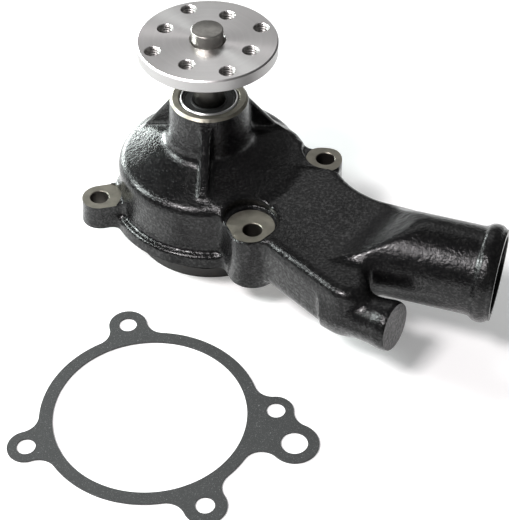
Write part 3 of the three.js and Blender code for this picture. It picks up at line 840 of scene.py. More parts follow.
def mounting_outline(ring, lobe_key, fillet):
    """Walks counter-clockwise round the lobes and the ring between them."""
    lobes = [(*hole_centre(hole), hole[lobe_key]) for hole in EARS.values()]
    bypass = (*bypass_centre(), BYPASS[lobe_key])
    body = (0, 0, ring)
    left, front, right, back = lobes
    circles = [left, body, front, body, bypass, right, body, back, body]
    count = len(circles)
    centres = [fillet_centre(circles[i], circles[(i + 1) % count], fillet) for i in range(count)]
    points = []
    for i, circle in enumerate(circles):
        before, after, following = centres[i - 1], centres[i], circles[(i + 1) % count]
        start = math.atan2(before[1] - circle[1], before[0] - circle[0])
        end = math.atan2(after[1] - circle[1], after[0] - circle[0])
        end += TAU if end < start else 0
        points += sweep(*circle, start, end, 3 if circle is body else 6)
        enter = math.atan2(circle[1] - after[1], circle[0] - after[0])
        leave = math.atan2(following[1] - after[1], following[0] - after[0])
        leave -= TAU if leave > enter else 0
        points += sweep(*after, fillet, enter, leave, 8)[1:-1]
    return points


# ---------------------------------------------------------------------------------------------------
# Housing
# ---------------------------------------------------------------------------------------------------

FLANGE_R = 54.0
FLANGE_TOP = 6.0
WALL_R = 48.5
SHOULDER_Z = 27.0
SHOULDER_R = 7.0
DOME_SLOPE = math.radians(22)
BOSS_FOOT_R = 21.8
BOSS_TOP_R = 19.8
BOSS_TOP = 68.5
BOSS_BEVEL = 1.1
RIB_THICKNESS = 4.6
RIB_TOP = 64.0
RIB_END_R = 40.0
RIB_ANGLES = degrees_of(-75, 46, 166)
EAR_WEB = 14.0
WING_BOTTOM = 3.0
WING_TOP = 32.5
WING_RISE = 0.022
NECK_Y, NECK_Z = -34.7, 24.0
NECK_R = 22.2
NECK_BORE_R = 19.2
NECK_ROOT_X = 84.0
NECK_END_X = (HOUSING_HIGH.x - ORIGIN.x) / MM
NECK_BEAD_R = 24.5
NECK_BEAD_X = NECK_END_X - 5.4
NECK_BEAD_HALF = 4.3
RAMP_POINT = (107, -45, 41.4)
RAMP_NORMAL = Vector((-0.484, 0.148, 0.862)).normalized()
NIPPLE_END = Vector((120.4, -77.2, 16.5))
NIPPLE_TURN = math.radians(-14)
NIPPLE_TILT = math.radians(6)
NIPPLE_AXIS = Vector(
    (
        math.cos(NIPPLE_TILT) * math.cos(NIPPLE_TURN),
        math.cos(NIPPLE_TILT) * math.sin(NIPPLE_TURN),
        math.sin(NIPPLE_TILT),
    )
)
NIPPLE_R = 11.6
NIPPLE_BEAD_R = 12.4
NIPPLE_LENGTH = 36.0
POCKET_R = 44.0
POCKET_TOP = 4.5
EYE_R = 31.0
PASSAGE_R = 43.3
PASSAGE_BOTTOM = 8.0
PASSAGE_TOP = 30.0
TOWER_R = 21.8
SEAL_BORE_R = 18.3
SEAL_BORE_TOP = 21.5
DRAIN_BOTTOM = 25.5
BEARING_BORE_R = 15.3
SHAFT_HOLE_R = 9.46
WEEP_ANGLE = math.radians(106)
WEEP_MIDDLE = (*polar(22, WEEP_ANGLE), 36.5)
WEEP_R = 2.0
BELOW = -2.0  # castings are shaped a little below the mounting face, which is then cut flat
FAR = 60.0  # how far sections reach past the axis, so that the axis isn't an edge

# Cast clearances for two bolt heads: shift from the middle of the spot face, radius, floor, and its softness
POCKETS = {
    "front": {"shift": (-0.5, 0.8), "radius": 13.8, "floor": 28.7, "soft": 1.2},
    "right": {"shift": (2.8, 7.4), "radius": 16.7, "floor": 31.2, "soft": 0.8},
}

# Corners of the grid for the housing, off round numbers so that no layer of it lies on a flat face
CASTING_LOW = (-74.37, -94.21, BELOW - 4.13)
CASTING_HIGH = (NECK_END_X + 4, 74, 73)
CASTING_SHARE = 0.42


def dome_height(radius):
    """Height of the dome between boss and shoulder."""
    edge_r = WALL_R - SHOULDER_R + SHOULDER_R * math.sin(DOME_SLOPE)
    edge_z = SHOULDER_Z + SHOULDER_R * math.cos(DOME_SLOPE)
    return edge_z + (edge_r - radius) * math.tan(DOME_SLOPE)


def body_section():
    shoulder = arc(WALL_R - SHOULDER_R, SHOULDER_Z, SHOULDER_R, 0, 90 - math.degrees(DOME_SLOPE), 8)
    return [(-FAR, BELOW), (WALL_R + 0.9, BELOW), *shoulder, (-FAR, dome_height(-FAR))]


def boss_section():
    draft = (BOSS_FOOT_R - BOSS_TOP_R) / (BOSS_TOP - dome_height(BOSS_FOOT_R))
    foot = BOSS_TOP_R + draft * (BOSS_TOP - 30)
    return [(-FAR, 30), (foot, 30), (BOSS_TOP_R - 0.1, BOSS_TOP + 2), (-FAR, BOSS_TOP + 2)]


def rib_distance(block, angle):
    """A gusset that tapers slightly from the boss to its end on the dome."""
    along = block.x * math.cos(angle) + block.y * math.sin(angle)
    across = block.y * math.cos(angle) - block.x * math.sin(angle)
    side = [
        (BOSS_TOP_R - 6, 30),
        (RIB_END_R + 0.6, 30),
        (RIB_END_R, dome_height(RIB_END_R) + 1.4),
        (BOSS_TOP_R, RIB_TOP + 0.6),
        (BOSS_TOP_R - 6, RIB_TOP + 4),
    ]
    height = turned_distance(np.maximum(along, 0), block.z, side)
    return smooth_max(height, np.abs(across) - RIB_THICKNESS / 2, 1.0)


def curve(start, middle, end, steps=8):
    """Points along a quadratic curve, without its start."""
    t = np.linspace(0, 1, steps + 1)[1:, None]
    points = (1 - t) ** 2 * np.array(start) + 2 * t * (1 - t) * np.array(middle) + t * t * np.array(end)
    return [tuple(point) for point in points]


def wing_outline():
    points = [(14, -38), (44.5, -54), (88, -77.6)]
    points += curve(points[-1], (96, -82), (103, -76))
    points += curve(points[-1], (108, -70), (101, -57))
    points += [(106, -40), (115, -20)]
    points += curve(points[-1], (118, -9), (112, -8.5))
    points += [(94, -7)]
    points += curve(points[-1], (78, -4), (69, 7))
    points += [(62, 23), (48, 21), (38, 28), (10, 30)]
    return points


def duct_outline():
    points = [(10, -30), (37, -30), (53, -49), (87, -70)]
    points += curve(points[-1], (94, -66), (94, -54))
    points += [(96, -22)]
    points += curve(points[-1], (88, -13), (80, -11))
    points += [(66, -4), (46, 6), (30, 24)]
    return points


def ramp_distance(block, sunk=0.0):
    """Height over the ramp that cuts off the root of the neck."""
    x, y, z = RAMP_POINT
    n = RAMP_NORMAL
    return (block.x - x) * n.x + (block.y - y) * n.y + (block.z - z) * n.z + sunk


def neck_distance(block):
    radius = np.hypot(block.y - NECK_Y, block.z - NECK_Z)
    rise = NECK_BEAD_R - NECK_R
    angles = np.radians(np.linspace(-78, 78, 9))
    roll = [(NECK_R + rise * math.cos(a), NECK_BEAD_X + NECK_BEAD_HALF * math.sin(a)) for a in angles]
    section = [
        (-FAR, NECK_ROOT_X),
        (NECK_R, NECK_ROOT_X),
        (NECK_R, NECK_BEAD_X - 6),
        *roll,
        (NECK_R + 0.2, NECK_END_X + 1.5),
        (-FAR, NECK_END_X + 1.5),
    ]
    return smooth_max(turned_distance(radius, block.x, section), ramp_distance(block), 2.2)


def nipple_distance(block):
    x, y, z = NIPPLE_END
    a = NIPPLE_AXIS
    along = (block.x - x) * a.x + (block.y - y) * a.y + (block.z - z) * a.z
    square = (block.x - x) ** 2 + (block.y - y) ** 2 + (block.z - z) ** 2
    radius = np.sqrt(np.maximum(square - along * along, 0))
    section = [
        (-FAR, -NIPPLE_LENGTH),
        (NIPPLE_R - 1.4, -NIPPLE_LENGTH),
        (NIPPLE_R, -9),
        (NIPPLE_BEAD_R - 0.2, -5.5),
        (NIPPLE_BEAD_R, -4),
        (NIPPLE_BEAD_R, -1.3),
        (NIPPLE_BEAD_R - 0.6, -0.2),
        (NIPPLE_BEAD_R - 0.8, 1.5),
        (-FAR, 1.5),
    ]
    return turned_distance(radius, np.clip(along, -NIPPLE_LENGTH - 20, 30), section)


def ear_distance(block, hole):
    """A post round the bolt hole with a web of the same width to the body, up to just over its seat."""
    angle = hole["angle"]
    outwards = block.x * math.cos(angle) + block.y * math.sin(angle) - BOLT_CIRCLE_R
    sideways = block.y * math.cos(angle) - block.x * math.sin(angle)
    inwards = np.minimum(outwards + EAR_WEB, 0)
    plan = np.hypot(np.maximum(outwards, 0) + inwards, sideways) - hole["lobe"]
    drafted = plan - (hole["height"] - block.z) * 0.02
    return slab_distance(drafted, block.z, BELOW, hole["height"] + 1, 0.6)


def cast_outside(block, fillet):
    """The outside of the casting before anything is machined."""
    away = np.hypot(block.x, block.y)
    body = turned_distance(away, block.z, body_section())
    boss = turned_distance(away, block.z, boss_section())
    shape = smooth_min(body, boss, fillet * 0.75)
    for angle in RIB_ANGLES:
        shape = smooth_min(shape, rib_distance(block, angle), 3.0)
    wing_plan = outline_distance(block.x, block.y, wing_outline())
    wing = slab_distance(wing_plan, block.z - WING_RISE * (block.y + 40), WING_BOTTOM, WING_TOP, 6.5)
    shape = smooth_min(shape, wing, fillet)
    shape = smooth_min(shape, neck_distance(block), fillet * 0.9)
    shape = smooth_min(shape, nipple_distance(block), fillet * 0.8)
    x, y = bypass_centre()
    bypass = np.hypot(block.x - x, block.y - y) - BYPASS["lobe"]
    shape = smooth_min(shape, slab_distance(bypass, block.z, BELOW, BYPASS["height"], 2), 4)
    for hole in EARS.values():
        shape = smooth_min(shape, ear_distance(block, hole), fillet * 0.6)
    flange_plan = outline_distance(block.x, block.y, mounting_outline(FLANGE_R, "lobe", 6))
    drafted = flange_plan + np.maximum(block.z, 0) * 0.22
    flange = smooth_max(drafted, np.abs(block.z - (FLANGE_TOP + BELOW) / 2) - (FLANGE_TOP - BELOW) / 2, 1.6)
    return smooth_min(shape, flange, 3.2)


def pocket_distance(block, name):
    """A round pocket with a soft floor beside a bolt hole."""
    pocket = POCKETS[name]
    x, y = spot_centre(EARS[name])
    dx, dy = pocket["shift"]
    wall = np.hypot(block.x - x - dx, block.y - y - dy) - pocket["radius"]
    return smooth_max(wall, pocket["floor"] - block.z, pocket["soft"])


def cast_recesses(block):
    """The two pockets; the right one goes round the seat of its bolt."""
    x, y = spot_centre(EARS["right"])
    seat = np.hypot(block.x - x, block.y - y) - EARS["right"]["spot"] + 0.6
    right = smooth_max(pocket_distance(block, "right"), -seat, 0.5)
    return np.minimum(pocket_distance(block, "front"), right)


def cast_inside(block):
    """Inlet duct, ring passage and neck bore."""
    away = np.hypot(block.x, block.y)
    passage = [
        (TOWER_R, PASSAGE_BOTTOM - 0.2),
        (PASSAGE_R, PASSAGE_BOTTOM - 0.2),
        (PASSAGE_R, PASSAGE_TOP - 5),
        *arc(PASSAGE_R - 5, PASSAGE_TOP - 5, 5, 20, 90, 4),
        (TOWER_R, PASSAGE_TOP),
    ]
    space = turned_distance(away, block.z, passage)
    duct_plan = outline_distance(block.x, block.y, duct_outline())
    duct = slab_distance(duct_plan, block.z, WING_BOTTOM + 4, WING_TOP - 5, 4)
    duct = smooth_max(duct, TOWER_R - away, 1)
    space = smooth_min(space, duct, 3)
    radius = np.hypot(block.y - NECK_Y, block.z - NECK_Z) - NECK_BORE_R
    bore = smooth_max(radius, NECK_ROOT_X - block.x, 3)
    bore = smooth_max(bore, ramp_distance(block, NECK_R - NECK_BORE_R), 2)
    return smooth_min(space, bore, 3)


def axis_cutter():
    """Everything turned about the shaft: mounting face, pocket, seal and bearing bores, boss."""
    section = [
        (0, -3),
        (130, -3),
        (130, 0),
        (POCKET_R + 0.5, 0),
        (POCKET_R, 0.5),
        (POCKET_R, POCKET_TOP),
        (EYE_R, POCKET_TOP),
        (EYE_R, PASSAGE_BOTTOM),
        (SEAL_BORE_R + 0.6, PASSAGE_BOTTOM),
        (SEAL_BORE_R, PASSAGE_BOTTOM + 0.6),
        (SEAL_BORE_R, SEAL_BORE_TOP),
        (SHAFT_HOLE_R, SEAL_BORE_TOP),
        (SHAFT_HOLE_R, DRAIN_BOTTOM),
        (BEARING_BORE_R, DRAIN_BOTTOM),
        (BEARING_BORE_R, BOSS_TOP - 0.6),
        (BEARING_BORE_R + 0.6, BOSS_TOP),
        (BOSS_TOP_R - BOSS_BEVEL, BOSS_TOP),
        (BOSS_TOP_R + 2, BOSS_TOP - BOSS_BEVEL - 2),
        (BOSS_TOP_R + 2, BOSS_TOP + 6),
        (0, BOSS_TOP + 6),
    ]
    return lathe("axis_cutter", section, 128)


def seat_cutters():
    """Spot faces for the bolt heads, the bolt holes, and the blind hole of the bypass port."""
    cutters = []
    for hole in EARS.values():
        seat = hole["height"]
        cutters.append(drill(*spot_centre(hole), hole["spot"], seat, seat + 14, 96))
        section = [
            (0, -4),
            (BOLT_HOLE_R, -4),
            (BOLT_HOLE_R, seat - 0.4),
            (BOLT_HOLE_R + 0.9, seat + 0.5),
            (0, seat + 0.5),
        ]
        cutters.append(lathe("bolt_hole", section, 48, hole_centre(hole)))
    cutters.append(drill(*bypass_centre(), BYPASS["hole"], -4, BYPASS["depth"], 56, tip=2.5))
    return cutters


def end_cutters():
    """Faces that close off the neck and the nipple, and the weep hole."""
    neck = drill(0, 0, 40, 0, 6, 64)
    place(neck, Matrix.Rotation(math.radians(90), 4, "Y"), (NECK_END_X, NECK_Y, NECK_Z))
    nipple = drill(0, 0, 16, 0, 5, 64)
    place(nipple, aim(NIPPLE_AXIS), NIPPLE_END)
    weep = drill(0, 0, WEEP_R, -11, 14, 24)
    place(weep, aim((*polar(1, WEEP_ANGLE), 1)), WEEP_MIDDLE)
    return [neck, nipple, weep]


def mark_machined(piece):
    """Gives the second material to every face that lies on a machined surface."""
    (x, y, z), (_, _, nz) = face_places(piece.data)
    away = np.hypot(x, y)
    cut_face = (z < 0.02) & (nz < -0.99)
    cut_face |= (away < EYE_R + 15) & (np.abs(z - POCKET_TOP) < 0.02)
    cut_face |= (np.abs(away - POCKET_R) < 0.2) & (z < POCKET_TOP + 0.1)
    cut_face |= (away < SEAL_BORE_R + 0.7) & (z < BOSS_TOP) & (z > PASSAGE_BOTTOM - 0.1)
    cut_face |= (z > BOSS_TOP - 0.02) & (away < BOSS_TOP_R + 1)
    off_bevel = np.abs(z - BOSS_TOP - BOSS_TOP_R + BOSS_BEVEL + away)
    cut_face |= (off_bevel < 0.12) & (z > BOSS_TOP - 4) & (nz > 0.5)
    for hole in EARS.values():
        sx, sy = spot_centre(hole)
        on_spot = np.hypot(x - sx, y - sy) < hole["spot"] + 0.1
        cut_face |= on_spot & (np.abs(z - hole["height"]) < 0.02) & (nz > 0.9)
        hx, hy = hole_centre(hole)
        cut_face |= (np.hypot(x - hx, y - hy) < BOLT_HOLE_R + 0.5) & (z < hole["height"])
    bx, by = bypass_centre()
    cut_face |= (np.hypot(x - bx, y - by) < BYPASS["hole"] + 0.05) & (z < BYPASS["depth"] + 4)
    mark_faces(piece, cut_face)


def make_housing(context):
    sizes = context.scene.pump_sizes
    pitch = sizes.casting_pitch / MM
    block = Block(CASTING_LOW, CASTING_HIGH, pitch)
    shape = cast_outside(block, sizes.fillet / MM)
    shape = smooth_max(shape, -cast_recesses(block), 1.6)
    shape = smooth_max(shape, -cast_inside(block), 1.5)
    piece = block.skin("pump_casting", shape)
    thin_out(piece, CASTING_SHARE)
    cut(piece, axis_cutter(), *seat_cutters(), *end_cutters())
    dress(piece, black_enamel(context), machined_iron(context))
    mark_machined(piece)
    finish_piece(piece, "pump_housing", ["housing"])


# ---------------------------------------------------------------------------------------------------
# Hub and shaft
# ---------------------------------------------------------------------------------------------------

HUB_R = (HUB_HIGH.x - HUB_LOW.x) / 2 / MM
HUB_FACE = top_of("hub_flange")
HUB_FOOT = bottom_of("hub_flange")
HUB_THICKNESS = 7.0
HUB_COLLAR_R = 13.5
HUB_HOLE_R = 3.97
HUB_OUTER_HOLES = (28.3, math.radians(39.6))
HUB_INNER_HOLES = (23.1, math.radians(84.6))
THREAD_PITCH = 1.41
SHAFT_R = 7.96
SHAFT_TOP = top_of("pump_shaft")
SHAFT_FOOT = bottom_of("pump_shaft")
SHAFT_END = SHAFT_TOP - 2.2
# Heights where the shaft's painted shade under the hub begins and where it is full
UNDER_HUB_SHADE_STARTS, UNDER_HUB_SHADE_FULL = 92.0, 84.0
BALL_ROW_Z = 58.5
BALL_PITCH_R = 10.2
BALL_R = 2.6
GAP = 0.3


def thread_cutter(x, y, low, high, depth):
    """A tap whose radius follows a helix; in the hub, both of its ends open into a countersink cut by a
    separate tool.
    """
    around = 28
    levels = np.arange(low, high + 0.001, THREAD_PITCH / 7)
    points = []
    for level in levels:
        for k in range(around):
            angle = TAU * k / around
            turn = (level / THREAD_PITCH - k / around) % 1
            radius = HUB_HOLE_R - depth * abs(2 * turn - 1)
            px, py = polar(radius, angle)
            points.append((x + px, y + py, level))
    return mesh_piece("tap", points, tube_faces(len(levels), around))


def hub_holes():
    """Places of the eight threaded holes."""
    for radius, first in (HUB_OUTER_HOLES, HUB_INNER_HOLES):
        for quarter in range(4):
            yield polar(radius, first + quarter * TAU / 4)


def mark_threads(piece):
    """Gives the second material to the faces inside the threaded holes."""
    (x, y, z), _ = face_places(piece.data)
    inside = np.zeros(len(x), bool)
    for hx, hy in hub_holes():
        inside |= np.hypot(x - hx, y - hy) < HUB_HOLE_R - 0.02
    mark_faces(piece, inside)


def make_hub(context):
    sizes = context.scene.pump_sizes
    edge = sizes.hub_edge / MM
    bottom = HUB_FACE - HUB_THICKNESS
    bore = SHAFT_R + GAP
    section = [
        (bore, HUB_FOOT),
        (HUB_COLLAR_R - 1, HUB_FOOT),
        (HUB_COLLAR_R, HUB_FOOT + 1),
        *arc(HUB_COLLAR_R + 2, bottom - 2, 2, 180, 90, 4),
        (HUB_R - edge, bottom),
        (HUB_R, bottom + edge),
        (HUB_R, HUB_FACE - edge),
        (HUB_R - edge, HUB_FACE),
        (bore + 0.9, HUB_FACE),
        (bore, HUB_FACE - 0.9),
    ]
    piece = lathe("hub_turned", section, 160)
    depth = sizes.thread_depth / MM
    cutters = []
    sink = [(0, -0.8), (HUB_HOLE_R - 0.6, -0.8), (HUB_HOLE_R + 0.4, 0.2), (0, 0.2)]
    for x, y in hub_holes():
        cutters.append(thread_cutter(x, y, bottom - 1, HUB_FACE + 1, depth))
        for face, way in ((HUB_FACE, 1), (bottom, -1)):
            cutters.append(lathe("sink", [(r, face + way * z) for r, z in sink], 40, (x, y)))
    cut(piece, *cutters)
    dress(piece, turned_steel(context), thread_steel())
    mark_threads(piece)
    finish_piece(piece, "rotor", ["hub_flange"], edge_angle=25)


def make_shaft(context):
    clear = BALL_R + GAP
    half = math.degrees(math.acos((BALL_PITCH_R - SHAFT_R) / clear))
    section = [
        (0, SHAFT_FOOT),
        (SHAFT_R - 1, SHAFT_FOOT),
        (SHAFT_R, SHAFT_FOOT + 1),
        *arc(BALL_PITCH_R, BALL_ROW_Z, clear, 180 + half, 180 - half, 8),
        *arc(SHAFT_R - 0.7, SHAFT_END - 0.7, 0.7, 10, 80, 3),
        (0, SHAFT_END),
    ]
    piece = lathe("shaft_ground", section, 96)
    finish_piece(piece, "rotor", ["pump_shaft"], [ground_steel(context)], 28)


# ---------------------------------------------------------------------------------------------------
# Bearing
# ---------------------------------------------------------------------------------------------------

RACE_R = 15.0
RACE_BORE_R = 12.4
RACE_MOUTH_R = 14.0
RACE_EDGE = 0.55
RACE_TOP = top_of("bearing_outer_race")
RACE_FOOT = bottom_of("bearing_outer_race")
ROLLER_R = 1.9
ROLLER_LENGTH = 11.0
ROLLER_ROW_Z = 42.0
ROW_COUNT = 8
CAGE_INNER_R, CAGE_OUTER_R = 9.3, 11.1


def make_race(steel):
    clear = BALL_R + GAP
    half = math.degrees(math.acos((RACE_BORE_R - BALL_PITCH_R) / clear))
    front_ledge = bottom_of("bearing_seal_front") - GAP
    rear_ledge = top_of("bearing_seal_rear") + GAP
    section = [
        (RACE_MOUTH_R, RACE_FOOT),
        (RACE_R - RACE_EDGE, RACE_FOOT),
        (RACE_R, RACE_FOOT + RACE_EDGE),
        (RACE_R, RACE_TOP - RACE_EDGE),
        (RACE_R - RACE_EDGE, RACE_TOP),
        (RACE_MOUTH_R, RACE_TOP),
        (RACE_MOUTH_R - 0.2, front_ledge),
        (RACE_BORE_R, front_ledge),
        *arc(BALL_PITCH_R, BALL_ROW_Z, clear, half, -half, 8),
        (RACE_BORE_R, rear_ledge),
        (RACE_MOUTH_R - 0.2, rear_ledge),
    ]
    piece = lathe("bearing_ring", section, 112)
    finish_piece(piece, "pump_housing", ["bearing_outer_race"], [steel], 28)


def make_bearing_seal(name, node, rubber, face_up):
    """Rubber disc with a rounded outer bead, a thinner web and a lip on the shaft."""
    low, high = bottom_of(node), top_of(node)
    outer, inner = RACE_MOUTH_R - GAP, SHAFT_R + GAP
    middle = (low + high) / 2
    way = 1 if face_up else -1
    front, rear = middle + way * 0.9, middle - way * 0.9
    section = [
        (inner, rear),
        (outer, rear),
        (outer, front - way * 0.3),
        (outer - 0.3, front),
        (outer - 1.0, front),
        (outer - 1.3, front - way * 0.45),
        (inner + 1.3, front - way * 0.45),
        (inner + 1.0, front - way * 0.1),
        (inner + 0.3, front),
        (inner, front - way * 0.4),
    ]
    piece = lathe(name, section, 72)
    finish_piece(piece, "pump_housing", [node], [rubber], 30)


def make_cage(name, node, body, level, half_height, pockets, polymer):
    section = [
        (CAGE_INNER_R, level - half_height),
        (CAGE_OUTER_R, level - half_height),
        (CAGE_OUTER_R, level + half_height),
        (CAGE_INNER_R, level + half_height),
    ]
    piece = lathe(name, section, 64)
    cut(piece, *pockets)
    bevel(piece, 0.15)
    finish_piece(piece, body, [node], [polymer])


def row_places():
    return [polar(BALL_PITCH_R, TAU * i / ROW_COUNT) for i in range(ROW_COUNT)]


def make_balls(steel, polymer):
    pockets = []
    for x, y in row_places():
        pocket = drill(0, 0, BALL_R + GAP, -3, 3, 28)
        place(pocket, aim((x, y, 0)), (x, y, BALL_ROW_Z))
        pockets.append(pocket)
    make_cage("ball_cage_moulded", "ball_cage", "ball_row", BALL_ROW_Z, 3.7, pockets, polymer)
    for i, (x, y) in enumerate(row_places(), 1):
        mesh = bmesh.new()
        bmesh.ops.create_icosphere(mesh, subdivisions=3, radius=BALL_R)
        points = [(v.co.x + x, v.co.y + y, v.co.z + BALL_ROW_Z) for v in mesh.verts]
        faces = [[v.index for v in face.verts] for face in mesh.faces]
        mesh.free()
        piece = mesh_piece(f"ball_ground_{i}", points, faces)
        finish_piece(piece, "ball_row", [f"bearing_ball_{i}"], [steel], 60)


def make_rollers(steel, polymer):
    half = ROLLER_LENGTH / 2
    pockets = []
    width = ROLLER_R + GAP
    window = [(-3, -width), (3, -width), (3, width), (-3, width)]
    for x, y in row_places():
        pocket = prism("pocket", window, ROLLER_ROW_Z - half - GAP, ROLLER_ROW_Z + half + GAP)
        place(pocket, Matrix.Rotation(math.atan2(y, x), 4, "Z"), (x, y, 0))
        pockets.append(pocket)
    make_cage("roller_cage_moulded", "roller_cage", "roller_row", ROLLER_ROW_Z, 7, pockets, polymer)
    round_end = arc(ROLLER_R - 0.4, half - 0.4, 0.4, 0, 90, 3)
    section = [(0, -half), *[(r, -z) for r, z in reversed(round_end)], *round_end, (0, half)]
    for i, (x, y) in enumerate(row_places(), 1):
        lifted = [(r, z + ROLLER_ROW_Z) for r, z in section]
        piece = lathe(f"roller_ground_{i}", lifted, 28, (x, y))
        finish_piece(piece, "roller_row", [f"bearing_roller_{i}"], [steel])


# ---------------------------------------------------------------------------------------------------
# Slinger and face seal
# ---------------------------------------------------------------------------------------------------


def make_slinger(plated):
    section = [
        (SHAFT_R + GAP, 26),
        (12.6, 26),
        *arc(12.5, 26.5, 0.5, -60, 60, 4),
        (11, 27),
        *arc(10.6, 27.8, 0.8, 270, 180, 3),
        (9.8, 29.2),
        (9.6, 29.4),
        (SHAFT_R + GAP, 29.4),
    ]
    piece = lathe("slinger_pressed", section, 72)
    finish_piece(piece, "rotor", ["slinger"], [plated])


def make_seal_case():
    section = [
        (17.1, 6.9),
        (20.3, 6.9),
        *arc(20.3, 7.3, 0.4, -60, 60, 3),
        (18.6, 7.7),
        *arc(18.55, 8.3, 0.6, 270, 180, 3),
        (17.95, 20.4),
        *arc(17.25, 20.4, 0.7, 10, 90, 3),
        (10.6, 21.1),
        (10.6, 20.3),
        (16.6, 20.3),
        (17.1, 19.8),
    ]
    piece = lathe("seal_case_drawn", section, 96)
    finish_piece(piece, "pump_housing", ["seal_case"], [drawn_brass()])


def make_seal_bellows(rubber):
    """Rubber sleeve with two soft folds between its two stiff ends."""
    folds = [(12.5 + 0.7 * math.cos(TAU * t * 2), 11 + 7 * t) for t in np.linspace(0, 1, 17)]
    inside = [(10.3, 19.9), (9.85, 17.5), (9.6, 14.6), (9.85, 11.7), (10.3, 9.3)]
    section = [(10.3, 9.3), (13.0, 9.3), (13.2, 9.5), *folds, (13.2, 19.7), (13.0, 19.9), *inside[:-1]]
    piece = lathe("seal_bellows_moulded", section, 72)
    finish_piece(piece, "pump_housing", ["seal_bellows"], [rubber], 40)


def make_seal_spring(plated):
    """Round wire wound in a helix, with its ends laid flatter."""
    turns, per_turn, sides = 3, 40, 10
    wire, coil, low, rise = 0.68, 15, 10.5, 8
    points = []
    count = turns * per_turn + 1
    for i in range(count):
        angle = TAU * i / per_turn
        t = i / (count - 1)
        level = low + rise * (t - math.sin(TAU * t) / TAU * 0.5)
        for k in range(sides):
            spin = TAU * k / sides
            x, y = polar(coil + wire * math.cos(spin), angle)
            points.append((x, y, level + wire * math.sin(spin)))
    piece = mesh_piece("seal_spring_wound", points, tube_faces(count, sides))
    outward(piece)
    finish_piece(piece, "pump_housing", ["seal_spring"], [plated], 50)


def make_seal_rings(rubber):
    carbon = [
        (10.9, 3.9),
        (13.1, 3.9),
        (13.2, 4.0),
        (13.2, 5.2),
        (14.0, 5.2),
        (14.2, 5.4),
        (14.2, 9),
        (10.3, 9),
        (10.3, 4.6),
    ]
    piece = lathe("seal_carbon_lapped", carbon, 80)
    finish_piece(piece, "pump_housing", ["seal_carbon_ring"], [seal_carbon()])
    seat = [(9.7, -1.6), (15, -1.6), (15, 3), (14.6, 3.4), (14.4, 3.6), (10.3, 3.6), (9.7, 3)]
    piece = lathe("seal_seat_lapped", seat, 80)
    finish_piece(piece, "rotor", ["seal_seat_ring"], [seal_ceramic()])
    cup = [
        (8.8, -3.4),
        (16.3, -3.4),
        (16.6, -3.1),
        (16.6, 2),
        (16.3, 2.3),
        (15.6, 2.3),
        (15.3, 2),
        (15.3, -1.9),
        (8.8, -1.9),
    ]
    piece = lathe("seal_cup_moulded", cup, 80)
    finish_piece(piece, "rotor", ["seal_seat_cup"], [rubber])


# ---------------------------------------------------------------------------------------------------
# Impeller and gasket
# ---------------------------------------------------------------------------------------------------

IMPELLER_R = 41.7
IMPELLER_REAR = -19.0
IMPELLER_DISC_TOP = -12.5
VANE_TOP = 3.8
IMPELLER_HUB_R = 19.5
IMPELLER_HUB_TOP = 1.8
SEAL_RECESS_R = 16.9
SEAL_RECESS_FLOOR = -3.7
VANE_COUNT = 6
VANE_THICKNESS = 3.2
VANE_DRAFT = 0.02
VANE_SWEEP = math.radians(48)
IMPELLER_LOW = (-46.23, -46.37, -24.19)
IMPELLER_HIGH = (46, 46, 8)
IMPELLER_PITCH = 0.9
IMPELLER_SHARE = 0.45


def impeller_disc(block):
    """The disc and its hub before turning."""
    section = [
        (-FAR, IMPELLER_REAR - 1),
        (IMPELLER_R + 1, IMPELLER_REAR - 1),
        (IMPELLER_R + 1, IMPELLER_DISC_TOP),
        (IMPELLER_HUB_R + 2, IMPELLER_DISC_TOP),
        (IMPELLER_HUB_R, IMPELLER_DISC_TOP + 3),
        (IMPELLER_HUB_R - 0.5, IMPELLER_HUB_TOP),
        (-FAR, IMPELLER_HUB_TOP),
    ]
    return turned_distance(np.hypot(block.x, block.y), block.z, section)


def impeller_vanes(block):
    """Vanes that lag further behind the spin the further out they are."""
    away = np.hypot(block.x, block.y)
    angle = np.arctan2(block.y, block.x)
    reach = np.clip((away - IMPELLER_HUB_R + 1) / (IMPELLER_R - IMPELLER_HUB_R), 0, 1.1)
    lean = np.cos(np.arctan(2 * VANE_SWEEP * reach * away / (IMPELLER_R - IMPELLER_HUB_R)))
    share = TAU / VANE_COUNT
    off = (angle + VANE_SWEEP * reach * reach + share / 2) % share - share / 2
    side = np.abs(off) * away * lean - VANE_THICKNESS / 2 - (VANE_TOP - block.z) * VANE_DRAFT
    vanes = smooth_max(side, np.maximum(IMPELLER_HUB_R - 2 - away, away - IMPELLER_R - 1), 0.8)
    return smooth_max(vanes, np.maximum(block.z - VANE_TOP - 1, IMPELLER_REAR - block.z), 0.5)


def impeller_cutters():
    """Tools that turn the rim and the vanes' tips, face the rear, and bore the hub with its seal recess."""
    rim = [
        (IMPELLER_R - 0.6, IMPELLER_REAR - 3),
        (60, IMPELLER_REAR - 3),
        (60, VANE_TOP + 4),
        (0, VANE_TOP + 4),
        (0, VANE_TOP),
        (IMPELLER_R - 0.5, VANE_TOP),
        (IMPELLER_R, VANE_TOP - 0.5),
        (IMPELLER_R, IMPELLER_REAR + 0.6),
    ]
    bore_r = SHAFT_R + GAP
    bore = [
        (0, IMPELLER_REAR - 4),
        (bore_r + 0.6, IMPELLER_REAR - 4),
        (bore_r + 0.6, IMPELLER_REAR),
        (bore_r, IMPELLER_REAR + 0.6),
        (bore_r, SEAL_RECESS_FLOOR),
        (SEAL_RECESS_R, SEAL_RECESS_FLOOR),
        (SEAL_RECESS_R, 6),
        (0, 6),
    ]
    rear = drill(0, 0, IMPELLER_R + 6, IMPELLER_REAR - 4, IMPELLER_REAR, 120)
    return [lathe("rim_tool", rim, 120), rear, lathe("bore_tool", bore, 80)]


